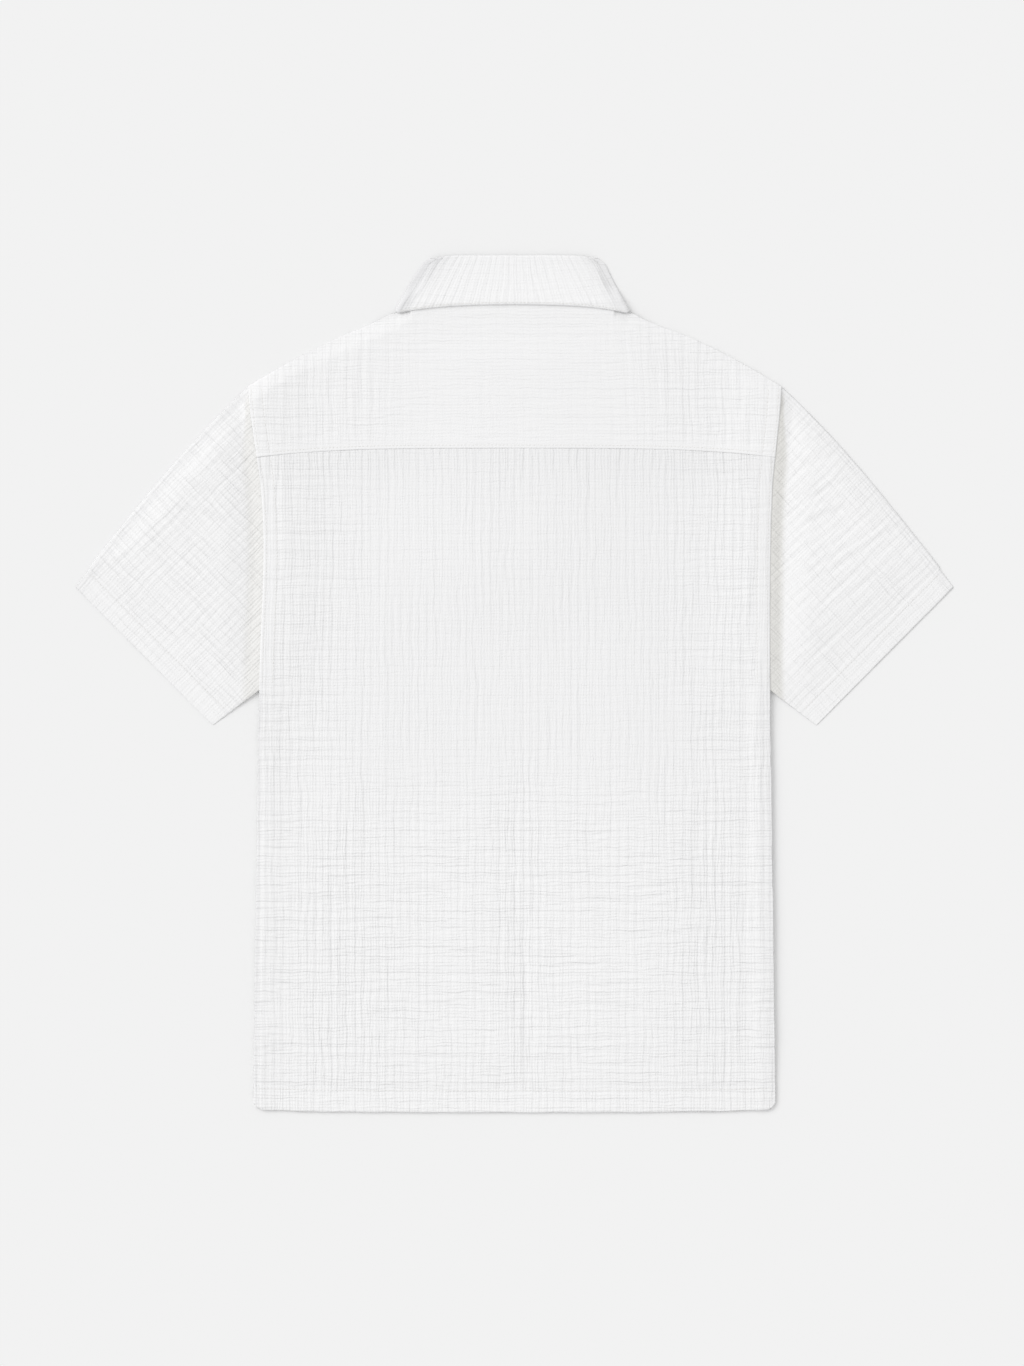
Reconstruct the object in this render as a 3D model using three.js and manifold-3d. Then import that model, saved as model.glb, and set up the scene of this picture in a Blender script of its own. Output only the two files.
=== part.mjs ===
// A short-sleeved polo shirt of crinkled double gauze, laid flat and face down: its back and yoke are on top.
// Millimetres, +Z up. X runs across the shirt and Y from the hem to the collar. The underside lies on Z = 0,
// and the origin is in the middle of the outline on that plane.
//
// Each cut piece is one wall of cloth: back, yoke, front, two sleeves, collar fall, collar stand and two
// placket bands, with three buttons. A height is measured along Y from the lowest point of the hem.
import * as THREE from "three";
import { mergeVertices } from "three/addons/utils/BufferGeometryUtils.js";
import Module from "manifold-3d";

const wasm = await Module();
wasm.setup();

// Cloth
const CLOTH = 1.4; // wall of crinkled double gauze
const THIN_CLOTH = 1.2; // the sleeves and the placket bands, and the least wall anywhere
const SEAM_GAP = 0.3; // between pieces that are sewn together or lie on each other
const COLOUR = { cloth: 0xf4f4f2, button: 0xf1efe9 };

// Body outline, as heights above the hem and distances from the centre line
const LENGTH = 771; // hem to the fold of the collar
const SIDE_LINE = [
  { height: 0, half: 235 }, // hem
  { height: 190, half: 232.3 },
  { height: 380, half: 229.8 }, // underarm
  { height: 500, half: 227.8 }, // narrowest, half way up the armhole
  { height: 560, half: 229.8 },
  { height: 590, half: 233.2 }, // end of the yoke seam
  { height: 625, half: 237.6 },
  { height: 653, half: 240 }, // shoulder point
];
const UNDERARM = 380;
const SHOULDER = { half: 240, height: 653 };
const NECK_SIDE = { half: 93, height: 729 };
const SHOULDER_BULGE = 3;
const HEM = { rise: 2.6, corner: 9, half: 235, band: 21, step: 1.5, doubled: 0.5 };
const SHOULDER_LEAN = 0.89; // cosine of the shoulder's slope
const YOKE_SEAM = { height: 597, drop: 8, half: 233, power: 3.8, rise: 0.6, fade: 25 };
const BACK_NECK = { height: 738, drop: 9 };
const FRONT_NECK = 668;

// How the layers lie on each other
const SIDE_EDGE = { lift: 2.2, fade: 16, crest: 5.4, crestAt: 9, crestWide: 8, round: 6 };
const LIP = { top: 6.9, under: 2.3, wide: 12, fade: 30, round: 2.5, edge: 5.2 }; // felled armhole seam
const SHOULDER_EDGE = { lift: 0.6, fade: 14, round: 7 };
const PLAIN_BACK = 2.3; // underside of the back where it lies on the plain front
const PLACKET_DOME = { rise: 3.2, from: 32, to: 76, start: 450, full: 488, end: 676, gone: 706 };
const NECK_RISE = { rise: 1.9, start: 585, full: 620, from: 135, to: 185 };
const LEAF_ROOM = { flat: 12, fade: 34 }; // how far the front stays up beyond the collar's front leaf

// Collar
const FALL = { thick: 2.2, lip: 1.7, lipWide: 2.5, edgeHeight: 726, edgeDrop: 6.4 };
const STAND = { thick: 1.4, hem: 6 };
const COLLAR_CENTRE = 4.05; // height of the plane half way between the collar's front and its back
const FOLD_TOP = { x: 74.3, y: LENGTH }; // where the fold of the collar turns to the front
const FOLD_END = { x: 107.3, y: 719.6 }; // and where its outer edge does
const FOLD_ROOM = { inside: 3.5, beyond: 0.4, wide: 12 }; // notch for it in the ends of the shoulder seam
const POINT = { x: 58, y: 641 }; // collar point, on the front
const FRONT_TOP = { x: 4, y: 692 }; // the collar's front end, at the neck
const ROLL_PULL = { x: 50, y: 704 }; // control point of the front roll line

// Sleeve outline, on the +X side
const CUFF_TOP = { x: 396, y: 473.4 };
const CUFF_END = { x: 271.4, y: 348.3 };
const SLEEVE = { bulge: 5, height: 4.6, valley: 2.75, valleyWide: 24, underarm: 5, round: 3.2, hem: 21.5 };
const SLEEVE_EDGE = { top: 1.9, underarm: 3.6, cuff: 2.1, lift: 18 }; // heights of the folded edges

// Placket and buttons, on the front
const PLACKET = { half: 14, low: 520, high: 667, outer: 2.5, inner: 4, under: 13, underLow: 524, ramp: 20 };
const BUTTON = { r: 5.75, thick: 2.2, rim: 0.5, hole: 0.8, holeAt: 1.5, sides: 18 };
const BUTTON_ROW = { first: 652, pitch: 50, count: 3 };

// Crinkle: ridges raised in the outer points of a wall
const CRINKLE = { backRidges: 48, yokeRidges: 24, sleeveRidges: 10, height: 0.8, calm: 12 };
const NECK_STEPS = 7; // columns from the centre to the side of the neck
const SHOULDER_STEPS = 6; // and from there to the shoulder point

const clamp01 = (t) => Math.min(1, Math.max(0, t));
const mix = (a, b, t) => a + (b - a) * t;
const smooth = (a, b, t) => {
  const s = clamp01((t - a) / (b - a));
  return s * s * (3 - 2 * s);
};
// A quarter circle: 0 at the edge of a rounded wall and 1 from the end of the rounding.
const roundOff = (t) => Math.sqrt(1 - (1 - clamp01(t)) ** 2);
// Row shares that start with a few given ones and go on evenly to 1.
const stepped = (v, rows, first) => {
  const i = Math.round(v * rows);
  const last = first.length - 1;
  return i <= last ? first[i] : mix(first[last], 1, (i - last) / (rows - last));
};
const placed = (x, height, z) => new THREE.Vector3(x, height - LENGTH / 2, z);

// The side line's half width at a height: a cubic through the table's rows, sloped after their neighbours.
function halfWidth(height) {
  const rows = SIDE_LINE;
  const last = rows.length - 1;
  const slope = (i) => {
    const a = rows[Math.max(0, i - 1)];
    const b = rows[Math.min(last, i + 1)];
    return (b.half - a.half) / (b.height - a.height);
  };
  const h = Math.min(rows[last].height, Math.max(0, height));
  const i = Math.min(last - 1, rows.findLastIndex((row) => row.height <= h));
  const span = rows[i + 1].height - rows[i].height;
  const t = (h - rows[i].height) / span;
  const start = (2 * t ** 3 - 3 * t ** 2 + 1) * rows[i].half + (t ** 3 - 2 * t ** 2 + t) * span * slope(i);
  const end = (3 * t ** 2 - 2 * t ** 3) * rows[i + 1].half + (t ** 3 - t ** 2) * span * slope(i + 1);
  return start + end;
}

// The hem sags a little between the side seams, and its corners are round.
function hemLine(x) {
  const into = Math.max(0, Math.abs(x) - (HEM.half - HEM.corner));
  const corner = HEM.corner - Math.sqrt(Math.max(0, HEM.corner ** 2 - Math.min(into, HEM.corner) ** 2));
  return HEM.rise * (x / HEM.half) ** 4 + corner;
}

const yokeSeam = (x) => YOKE_SEAM.height - YOKE_SEAM.drop * (Math.abs(x) / YOKE_SEAM.half) ** YOKE_SEAM.power;

function shoulderLine(x) {
  const t = (Math.abs(x) - NECK_SIDE.half) / (SHOULDER.half - NECK_SIDE.half);
  const bulge = t > 0 ? SHOULDER_BULGE * Math.sin(Math.PI * Math.min(1, t) ** 1.3) : 0;
  return mix(NECK_SIDE.height, SHOULDER.height, t) + bulge;
}

const backNeck = (x) => BACK_NECK.height - BACK_NECK.drop * (x / NECK_SIDE.half) ** 2;
const backTop = (x) => (Math.abs(x) < NECK_SIDE.half ? backNeck(x) : shoulderLine(x));

const frontTop = (x) =>
  Math.abs(x) < NECK_SIDE.half
    ? NECK_SIDE.height - (NECK_SIDE.height - FRONT_NECK) * Math.sqrt(1 - (x / NECK_SIDE.half) ** 2)
    : shoulderLine(x);

const moved = (p, way, by) => ({ x: p.x + way.x * by, y: p.y + way.y * by });
const FOLD_LONG = Math.hypot(FOLD_END.x - FOLD_TOP.x, FOLD_END.y - FOLD_TOP.y);
const FOLD_ALONG = { x: (FOLD_END.x - FOLD_TOP.x) / FOLD_LONG, y: (FOLD_END.y - FOLD_TOP.y) / FOLD_LONG };
const FOLD_WAY = { x: -FOLD_ALONG.y, y: FOLD_ALONG.x }; // outwards in plan, away from the neck

// Distance outside the straight line from a to b, positive to its right.
const outside = (a, b, x, y) => {
  const [wide, high] = [b.x - a.x, b.y - a.y];
  return ((x - a.x) * high - (y - a.y) * wide) / Math.hypot(wide, high);
};

// 1 where the front leaf of the collar lies under the front panel, fading to 0 beyond it.
function underLeaf(x, height) {
  const side = Math.abs(x);
  const away = Math.max(-outside(FOLD_END, POINT, side, height), -outside(POINT, FRONT_TOP, side, height));
  return 1 - smooth(LEAF_ROOM.flat, LEAF_ROOM.fade, away);
}

const armholeZone = (height) => smooth(UNDERARM - 8, UNDERARM + 12, height);
const fromSide = (x, height) => Math.max(0, halfWidth(height) - Math.abs(x));
const fromShoulder = (x, height) =>
  Math.abs(x) > NECK_SIDE.half ? Math.max(0, (shoulderLine(x) - height) * SHOULDER_LEAN) : 1000;

// Underside of the front, which lies on the plane but for its edges, the placket and the collar points.
function frontUnder(x, height) {
  const below = 1 - armholeZone(height);
  const side = SIDE_EDGE.lift * below * (1 - smooth(0, SIDE_EDGE.fade, fromSide(x, height)));
  const shoulder = SHOULDER_EDGE.lift * (1 - smooth(0, SHOULDER_EDGE.fade, fromShoulder(x, height)));
  const beside = 1 - smooth(PLACKET.half, PLACKET.half + PLACKET.ramp, Math.abs(x));
  const placket = PLACKET.outer * beside * smooth(PLACKET.low - PLACKET.ramp, PLACKET.low, height);
  return Math.max(side, shoulder, placket, PLACKET.outer * underLeaf(x, height));
}

// Underside of the back and the yoke, before the edges.
function plainInner(x, height) {
  const side = Math.abs(x);
  const along = smooth(PLACKET_DOME.start, PLACKET_DOME.full, height);
  const ends = 1 - smooth(PLACKET_DOME.end, PLACKET_DOME.gone, height);
  const dome = PLACKET_DOME.rise * (1 - smooth(PLACKET_DOME.from, PLACKET_DOME.to, side)) * along * ends;
  const up = smooth(NECK_RISE.start, NECK_RISE.full, height);
  const neck = NECK_RISE.rise * up * (1 - smooth(NECK_RISE.from, NECK_RISE.to, side));
  return PLAIN_BACK + Math.max(dome, neck);
}

const crest = (away) => Math.exp(-(((away - SIDE_EDGE.crestAt) / SIDE_EDGE.crestWide) ** 2));

function backInner(x, height) {
  const plain = plainInner(x, height);
  const away = fromSide(x, height);
  const free = frontUnder(x, height) + CLOTH + SEAM_GAP;
  const low = SIDE_EDGE.lift + CLOTH + SEAM_GAP;
  const rolled = mix(low, mix(plain, SIDE_EDGE.crest, crest(away)), roundOff(away / SIDE_EDGE.round));
  const lip = mix(LIP.under, plain, smooth(LIP.wide - 2, LIP.fade - 4, away));
  const inner = mix(rolled, lip, armholeZone(height));
  const shoulder = roundOff(fromShoulder(x, height) / SHOULDER_EDGE.round);
  return Math.max(free, mix(SHOULDER_EDGE.lift + CLOTH + SEAM_GAP, inner, shoulder));
}

function backOuter(x, height) {
  const plain = plainInner(x, height) + CLOTH;
  const away = fromSide(x, height);
  const low = SIDE_EDGE.lift + 2 * CLOTH + SEAM_GAP;
  const crested = mix(plain, SIDE_EDGE.crest + CLOTH, crest(away));
  const rolled = mix(low, crested, roundOff(away / SIDE_EDGE.round));
  const felled = mix(LIP.top, plain, smooth(LIP.wide, LIP.fade, away));
  const lip = mix(LIP.edge, felled, roundOff(away / LIP.round));
  const outer = mix(rolled, lip, armholeZone(height));
  const shoulder = roundOff(fromShoulder(x, height) / SHOULDER_EDGE.round);
  const edge = SHOULDER_EDGE.lift + 2 * CLOTH + SEAM_GAP;
  return Math.max(backInner(x, height) + THIN_CLOTH, mix(edge, outer, shoulder));
}

// Triangles of the strip between two closed loops of vertices, which have rising places along them.
function strip(outerLoop, innerLoop) {
  const faces = [];
  const at = (loop, i) => (i < loop.length ? loop[i].place : Infinity);
  const vertex = (loop, i) => loop[i % loop.length].index;
  let o = 0;
  let n = 0;
  while (o < outerLoop.length || n < innerLoop.length) {
    const nextOuter = o < outerLoop.length ? Math.min(at(outerLoop, o + 1), 1e6) : Infinity;
    const nextInner = n < innerLoop.length ? Math.min(at(innerLoop, n + 1), 1e6) : Infinity;
    if (nextOuter <= nextInner) {
      faces.push(vertex(outerLoop, o + 1), vertex(outerLoop, o), vertex(innerLoop, n));
      o += 1;
    } else {
      faces.push(vertex(innerLoop, n), vertex(innerLoop, n + 1), vertex(outerLoop, o));
      n += 1;
    }
  }
  return faces;
}

// A closed wall of cloth from two functions of u and v, each from 0 to 1. The outer face has columns x rows
// cells, and the plain inner face one for every skip.u x skip.v of them. A ring joins its last column and first.
function wall({ columns, rows, skip = { u: 1, v: 1 }, ring = false, outer, inner }) {
  const points = [];
  const faces = [];
  const sheet = (across, along, pointAt) => {
    const first = points.length;
    const wide = ring ? across : across + 1;
    for (let j = 0; j <= along; j += 1)
      for (let i = 0; i < wide; i += 1) points.push(pointAt(i / across, j / along));
    const index = (i, j) => first + j * wide + (ring ? i % across : i);
    return { across, along, index };
  };
  const cells = ({ across, along, index }, turned) => {
    for (let j = 0; j < along; j += 1)
      for (let i = 0; i < across; i += 1) {
        const [a, b, c, d] = [index(i, j), index(i + 1, j), index(i + 1, j + 1), index(i, j + 1)];
        faces.push(...(turned ? [a, c, b, a, d, c] : [a, b, c, a, c, d]));
      }
  };
  const span = (n) => Array.from({ length: n }, (_, i) => i);
  const firstRow = ({ across, index }) =>
    span(across).map((i) => ({ index: index(i, 0), place: i / across }));
  const lastRow = ({ across, along, index }) =>
    span(across).map((i) => ({ index: index(across - i, along), place: i / across }));
  const rim = (grid) => {
    const { across, along, index } = grid;
    const right = span(along).map((j) => ({ index: index(across, j), place: 1 + j / along }));
    const far = lastRow(grid).map(({ index: i, place }) => ({ index: i, place: 2 + place }));
    const left = span(along).map((j) => ({ index: index(0, along - j), place: 3 + j / along }));
    return [...firstRow(grid), ...right, ...far, ...left];
  };
  const outside = sheet(columns, rows, outer);
  const inside = sheet(columns / skip.u, rows / skip.v, inner);
  cells(outside, false);
  cells(inside, true);
  const edges = ring ? [firstRow, lastRow] : [rim];
  for (const edge of edges) faces.push(...strip(edge(outside), edge(inside)));
  return solidGeometry(points, faces);
}

// A geometry whose faces point outwards, whichever way its two sheets were wound.
function solidGeometry(points, faces) {
  let volume = 0;
  for (let i = 0; i < faces.length; i += 3) {
    const [a, b, c] = [points[faces[i]], points[faces[i + 1]], points[faces[i + 2]]];
    volume += a.dot(new THREE.Vector3().crossVectors(b, c));
  }
  const geometry = new THREE.BufferGeometry().setFromPoints(points);
  geometry.setIndex(volume < 0 ? faces.toReversed() : faces);
  return geometry;
}

// Booleans
function solidOf(geometry) {
  const bare = geometry.index ? geometry.toNonIndexed() : geometry.clone();
  bare.deleteAttribute("normal");
  bare.deleteAttribute("uv");
  const merged = mergeVertices(bare, 1e-3);
  const vertProperties = merged.getAttribute("position").array;
  const triVerts = new Uint32Array(merged.index.array);
  return new wasm.Manifold(new wasm.Mesh({ numProp: 3, vertProperties, triVerts }));
}

function geometryOf(solid) {
  const { vertProperties, triVerts } = solid.getMesh();
  return new THREE.BufferGeometry()
    .setAttribute("position", new THREE.BufferAttribute(vertProperties, 3))
    .setIndex(new THREE.BufferAttribute(triVerts, 1));
}

// Back: the panel below the yoke, its crinkle in ridges from hem to seam
function backPanel() {
  const columns = 2 * CRINKLE.backRidges;
  const rows = 14;
  const hemRows = [0, HEM.band / YOKE_SEAM.height, (HEM.band + HEM.step) / YOKE_SEAM.height];
  const spot = (u, v) => {
    const share = stepped(v, rows, hemRows);
    const x = (2 * u - 1) * halfWidth(mix(HEM.rise + HEM.corner, YOKE_SEAM.height - YOKE_SEAM.drop, share));
    return { x, height: mix(hemLine(x), yokeSeam(x) - SEAM_GAP / 2, share) };
  };
  const ridge = (u, v) => {
    const raised = Math.round(u * columns) % 2 === 1;
    const swell = 0.7 + 0.3 * Math.sin(11 * u + 9 * v) * Math.cos(23 * v - 5 * u);
    return raised ? CRINKLE.height * swell : 0;
  };
  const hemFold = (v) => (Math.round(v * rows) < 2 ? HEM.doubled : 0);
  return wall({
    columns,
    rows,
    skip: { u: 3, v: 1 },
    outer: (u, v) => {
      const { x, height } = spot(u, v);
      const calm = roundOff(fromSide(x, height) / CRINKLE.calm);
      return placed(x, height, backOuter(x, height) + ridge(u, v) * calm + hemFold(v));
    },
    inner: (u, v) => {
      const { x, height } = spot(u, v);
      return placed(x, height, backInner(x, height));
    },
  });
}

// Yoke: from its seam to the shoulders and the back of the neck
function yoke() {
  const columns = 2 * CRINKLE.yokeRidges;
  const spot = (u, v) => {
    const x = (2 * u - 1) * halfWidth(mix(YOKE_SEAM.height - YOKE_SEAM.drop, SHOULDER.height, v));
    return { x, height: mix(yokeSeam(x) + SEAM_GAP / 2, backTop(x), v) };
  };
  const ridge = (u, x, height) => {
    const raised = Math.round(u * columns) % 2 === 1;
    const free = 1 - smooth(FALL.edgeHeight - 30, FALL.edgeHeight - 12, height);
    const calm = roundOff(Math.min(fromSide(x, height), fromShoulder(x, height)) / CRINKLE.calm);
    return raised ? CRINKLE.height * free * calm : 0;
  };
  const rise = (x, height) => YOKE_SEAM.rise * (1 - smooth(0, YOKE_SEAM.fade, height - yokeSeam(x)));
  const panel = wall({
    columns,
    rows: 8,
    skip: { u: 2, v: 1 },
    outer: (u, v) => {
      const { x, height } = spot(u, v);
      return placed(x, height, backOuter(x, height) + ridge(u, x, height) + rise(x, height));
    },
    inner: (u, v) => {
      const { x, height } = spot(u, v);
      return placed(x, height, backInner(x, height));
    },
  });
  return geometryOf(solidOf(panel).subtract(foldRoom()));
}

// Front: one panel from hem to neck, slit for the placket. Its outer face is the underside.
function frontPanel() {
  const columns = 2 * (NECK_STEPS + SHOULDER_STEPS);
  const rows = 18;
  const neckPart = (2 * NECK_STEPS) / columns;
  // Columns are closer together at the sides of the neck, and rows towards the shoulders.
  const across = (side) => {
    const away = Math.abs(side);
    const inNeck = NECK_SIDE.half * Math.sin((Math.PI / 2) * Math.min(1, away / neckPart));
    return Math.sign(side) * mix(inNeck, SHOULDER.half, clamp01((away - neckPart) / (1 - neckPart)));
  };
  const spot = (u, v) => {
    const share = 1 - (1 - v) ** 1.6;
    const low = HEM.rise + HEM.corner;
    const x = (across(2 * u - 1) / SHOULDER.half) * halfWidth(mix(low, SHOULDER.height, share));
    return { x, height: mix(hemLine(x), frontTop(x), share) };
  };
  const face = (above) => (u, v) => {
    const { x, height } = spot(u, v);
    return placed(x, height, frontUnder(x, height) + above);
  };
  const panel = wall({ columns, rows, outer: face(0), inner: face(CLOTH) });
  const wide = 2 * (PLACKET.half + SEAM_GAP);
  const low = PLACKET.low - SEAM_GAP;
  const slit = new THREE.BoxGeometry(wide, LENGTH, 40);
  slit.translate(0, low, 0);
  return geometryOf(solidOf(panel).subtract(solidOf(slit)).subtract(foldRoom()));
}

// The room that the collar's fold takes at both ends of the shoulder seam
function foldRoom() {
  const { inside, beyond, wide } = FOLD_ROOM;
  const start = moved(FOLD_TOP, FOLD_WAY, -inside);
  const end = moved(moved(FOLD_END, FOLD_WAY, -inside), FOLD_ALONG, beyond);
  const corners = [start, end, moved(end, FOLD_WAY, wide), moved(start, FOLD_WAY, wide)];
  const prism = (side) => {
    const outline = new THREE.Shape(corners.map(({ x, y }) => new THREE.Vector2(side * x, y - LENGTH / 2)));
    return solidOf(new THREE.ExtrudeGeometry(outline, { depth: 2 * wide, bevelEnabled: false }));
  };
  return prism(1).add(prism(-1));
}

// Sleeve: a flattened tube from the armhole to the cuff, on the +X side
const CUFF_WAY = { x: CUFF_TOP.x - CUFF_END.x, y: CUFF_TOP.y - CUFF_END.y };
const CUFF_WIDE = Math.hypot(CUFF_WAY.x, CUFF_WAY.y);
const AXIS = { x: -CUFF_WAY.y / CUFF_WIDE, y: CUFF_WAY.x / CUFF_WIDE }; // from the cuff towards the body

// A place on the sleeve, across from 0 at the underarm edge to 1 at the top, and along from the armhole to 1.
function sleeveSpot(across, along) {
  const armHeight = mix(UNDERARM, SHOULDER.height, across);
  const arm = { x: halfWidth(armHeight) + SEAM_GAP + 0.1, y: armHeight };
  const cuff = { x: mix(CUFF_END.x, CUFF_TOP.x, across), y: mix(CUFF_END.y, CUFF_TOP.y, across) };
  const bow = SLEEVE.bulge * Math.sin(Math.PI * along ** 0.8) * smooth(0.35, 1, across);
  return { x: mix(arm.x, cuff.x, along) + bow * 0.75, y: mix(arm.y, cuff.y, along) + bow * 0.66 };
}

const fromCuff = ({ x, y }) => (x - CUFF_END.x) * AXIS.x + (y - CUFF_END.y) * AXIS.y;

// Height of the sleeve's folded edge at the underarm side and at the top side.
const edgeHeight = (across, along) =>
  across < 0.5 ? mix(SLEEVE_EDGE.underarm, SLEEVE_EDGE.cuff, along) : SLEEVE_EDGE.top;

// Height of the upper layer's outside, away from the folded edges: lowest beside the armhole.
function sleeveUpper(across, spot) {
  const away = spot.x - halfWidth(Math.min(spot.y, SHOULDER.height));
  const valley = mix(SLEEVE.underarm, SLEEVE.valley, smooth(0.02, 0.14, across));
  const hem = fromCuff(spot) < SLEEVE.hem ? HEM.doubled : 0;
  return mix(valley, SLEEVE.height, smooth(1, SLEEVE.valleyWide, away)) + hem;
}

function sleeve() {
  const stations = 2 * CRINKLE.sleeveRidges;
  // Round the tube: to t = 0.5 the upper layer from the underarm edge to the top edge, then the lower layer.
  const ringPoint = (t, along, thick) => {
    const upper = t < 0.5;
    const share = upper ? 2 * t : 2 - 2 * t;
    const across = 0.5 - 0.5 * Math.cos(Math.PI * share);
    const plain = sleeveSpot(across, along);
    const ends = [sleeveSpot(0, along), sleeveSpot(1, along)];
    const way = { x: ends[1].x - ends[0].x, y: ends[1].y - ends[0].y };
    const wide = Math.hypot(way.x, way.y);
    const spot = moved(plain, way, (thick * (1 - 2 * across)) / wide);
    const edge = edgeHeight(across, along);
    const away = wide * Math.min(across, 1 - across);
    const round = roundOff(away / (SLEEVE.round - thick));
    const onRidge = Math.round(along * stations) % 2 === 1 && !thick;
    const raised = onRidge ? CRINKLE.height * roundOff(away / CRINKLE.calm) : 0;
    const rest = across < 0.5 ? (edge - 1.5) * (1 - smooth(0, SLEEVE_EDGE.lift, away)) : 0;
    const top = mix(edge, Math.max(edge, sleeveUpper(across, spot)) - thick + raised, round);
    const bottom = mix(edge, rest + thick, round);
    return placed(spot.x, spot.y, upper ? Math.max(top, thick ? rest + thick + SEAM_GAP / 2 : 0) : bottom);
  };
  return wall({
    columns: 24,
    rows: stations,
    skip: { u: 1, v: 2 },
    ring: true,
    outer: (t, along) => ringPoint(t, along, 0),
    inner: (t, along) => ringPoint(t, along, THIN_CLOTH),
  });
}

// Collar: a ring that lies flat, its front below and its back above, with a slanting fold on each side.
// A ruling is the straight line from one edge of the collar piece to the other, at a place round the ring.
const quadratic = (a, b, c, t) => ({
  x: (1 - t) ** 2 * a.x + 2 * t * (1 - t) * b.x + t ** 2 * c.x,
  y: (1 - t) ** 2 * a.y + 2 * t * (1 - t) * b.y + t ** 2 * c.y,
});
const between = (a, b, t) => ({ x: mix(a.x, b.x, t), y: mix(a.y, b.y, t) });

// Stations round the ring, as a table of front, fold and back shares.
function ringStations({ front, fold, back }) {
  const half = [
    ...Array.from({ length: front }, (_, i) => ({ zone: "front", t: i / front })),
    ...Array.from({ length: fold }, (_, i) => ({ zone: "fold", t: i / fold })),
    ...Array.from({ length: back / 2 + 1 }, (_, i) => ({ zone: "back", t: i / back })),
  ];
  const other = half.slice(0, -1).map((station) => ({ ...station, mirror: true }));
  return [...half, ...other.toReversed()];
}

// A collar piece from its rulings, which give their two ends in plan. turn is 0 in front and PI at the back.
function collarPiece({ stations, rows, radius, thick, ruling, lip, lipWide }) {
  const place = (u, v, face) => {
    const { zone, t, mirror } = stations[Math.round(u * (stations.length - 1))];
    const turn = zone === "front" ? 0 : zone === "back" ? Math.PI : Math.PI * t;
    const { a, b } = ruling(zone, t);
    const spot = between(a, b, stepped(v, rows, [0, lipWide / Math.hypot(b.x - a.x, b.y - a.y)]));
    const out = { x: FOLD_WAY.x * Math.sin(turn), y: FOLD_WAY.y * Math.sin(turn), z: -Math.cos(turn) };
    const off = face === "outer" ? thick / 2 : -thick / 2 - (v === 0 ? lip : 0);
    const x = spot.x + out.x * (radius + off);
    const y = spot.y + out.y * (radius + off);
    return placed(mirror ? -x : x, y, COLLAR_CENTRE + out.z * (radius + off));
  };
  return wall({
    columns: stations.length - 1,
    rows,
    outer: (u, v) => place(u, v, "outer"),
    inner: (u, v) => place(u, v, "inner"),
  });
}

function collarFall() {
  const radius = COLLAR_CENTRE - FALL.thick / 2;
  const top = moved(FOLD_TOP, FOLD_WAY, -COLLAR_CENTRE);
  const end = moved(FOLD_END, FOLD_WAY, -COLLAR_CENTRE);
  const backEdge = (x) => FALL.edgeHeight - FALL.edgeDrop * (x / FOLD_END.x) ** 2;
  const ruling = (zone, t) => {
    if (zone === "front") return { a: quadratic(FRONT_TOP, ROLL_PULL, top, t), b: between(POINT, end, t) };
    if (zone === "fold") return { a: top, b: end };
    const spread = 1 - 2 * t;
    const a = { x: top.x * spread, y: mix(FOLD_TOP.y, top.y, Math.abs(spread) ** 8) };
    const x = end.x * spread;
    return { a, b: { x, y: mix(backEdge(x), end.y, Math.abs(spread) ** 8) } };
  };
  const stations = ringStations({ front: 8, fold: 4, back: 16 });
  const { thick, lip, lipWide } = FALL;
  return collarPiece({ stations, rows: 6, radius, thick, ruling, lip, lipWide });
}

function collarStand() {
  const radius = STAND.thick / 2 + SEAM_GAP / 2;
  const gap = 3.6; // between the stand's top edge and the collar's roll line
  const top = moved(moved(FOLD_TOP, FOLD_WAY, -COLLAR_CENTRE), FOLD_ALONG, gap);
  const foot = { x: NECK_SIDE.half - 2.5, y: NECK_SIDE.height + SEAM_GAP };
  const low = { x: FRONT_TOP.x, y: FRONT_TOP.y - gap };
  const pull = { x: ROLL_PULL.x + gap, y: ROLL_PULL.y - gap };
  const ruling = (zone, t) => {
    if (zone === "front") {
      const x = mix(FRONT_TOP.x, foot.x, Math.sin((Math.PI / 2) * t));
      const share = (x - FRONT_TOP.x) / (foot.x - FRONT_TOP.x);
      const y = foot.y - (foot.y - FRONT_NECK - 2 * SEAM_GAP) * Math.sqrt(1 - share ** 2);
      return { a: { x, y }, b: quadratic(low, pull, top, t) };
    }
    if (zone === "fold") return { a: foot, b: top };
    const spread = 1 - 2 * t;
    const x = foot.x * spread;
    const b = { x: top.x * spread, y: mix(LENGTH - gap, top.y, Math.abs(spread) ** 4) };
    return { a: { x, y: backTop(x) + 2 * SEAM_GAP }, b };
  };
  const stations = ringStations({ front: NECK_STEPS, fold: 3, back: 10 });
  return collarPiece({ stations, rows: 2, radius, thick: STAND.thick, ruling, lip: 0, lipWide: STAND.hem });
}

// Placket: an outer and an under band in the slit of the front
function band(half, low, high, z) {
  const outline = new THREE.Shape();
  outline.moveTo(-half, low).lineTo(half, low).lineTo(half, high).lineTo(-half, high).closePath();
  const geometry = new THREE.ExtrudeGeometry(outline, { depth: THIN_CLOTH, bevelEnabled: false });
  return geometry.translate(0, -LENGTH / 2, z);
}

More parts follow.
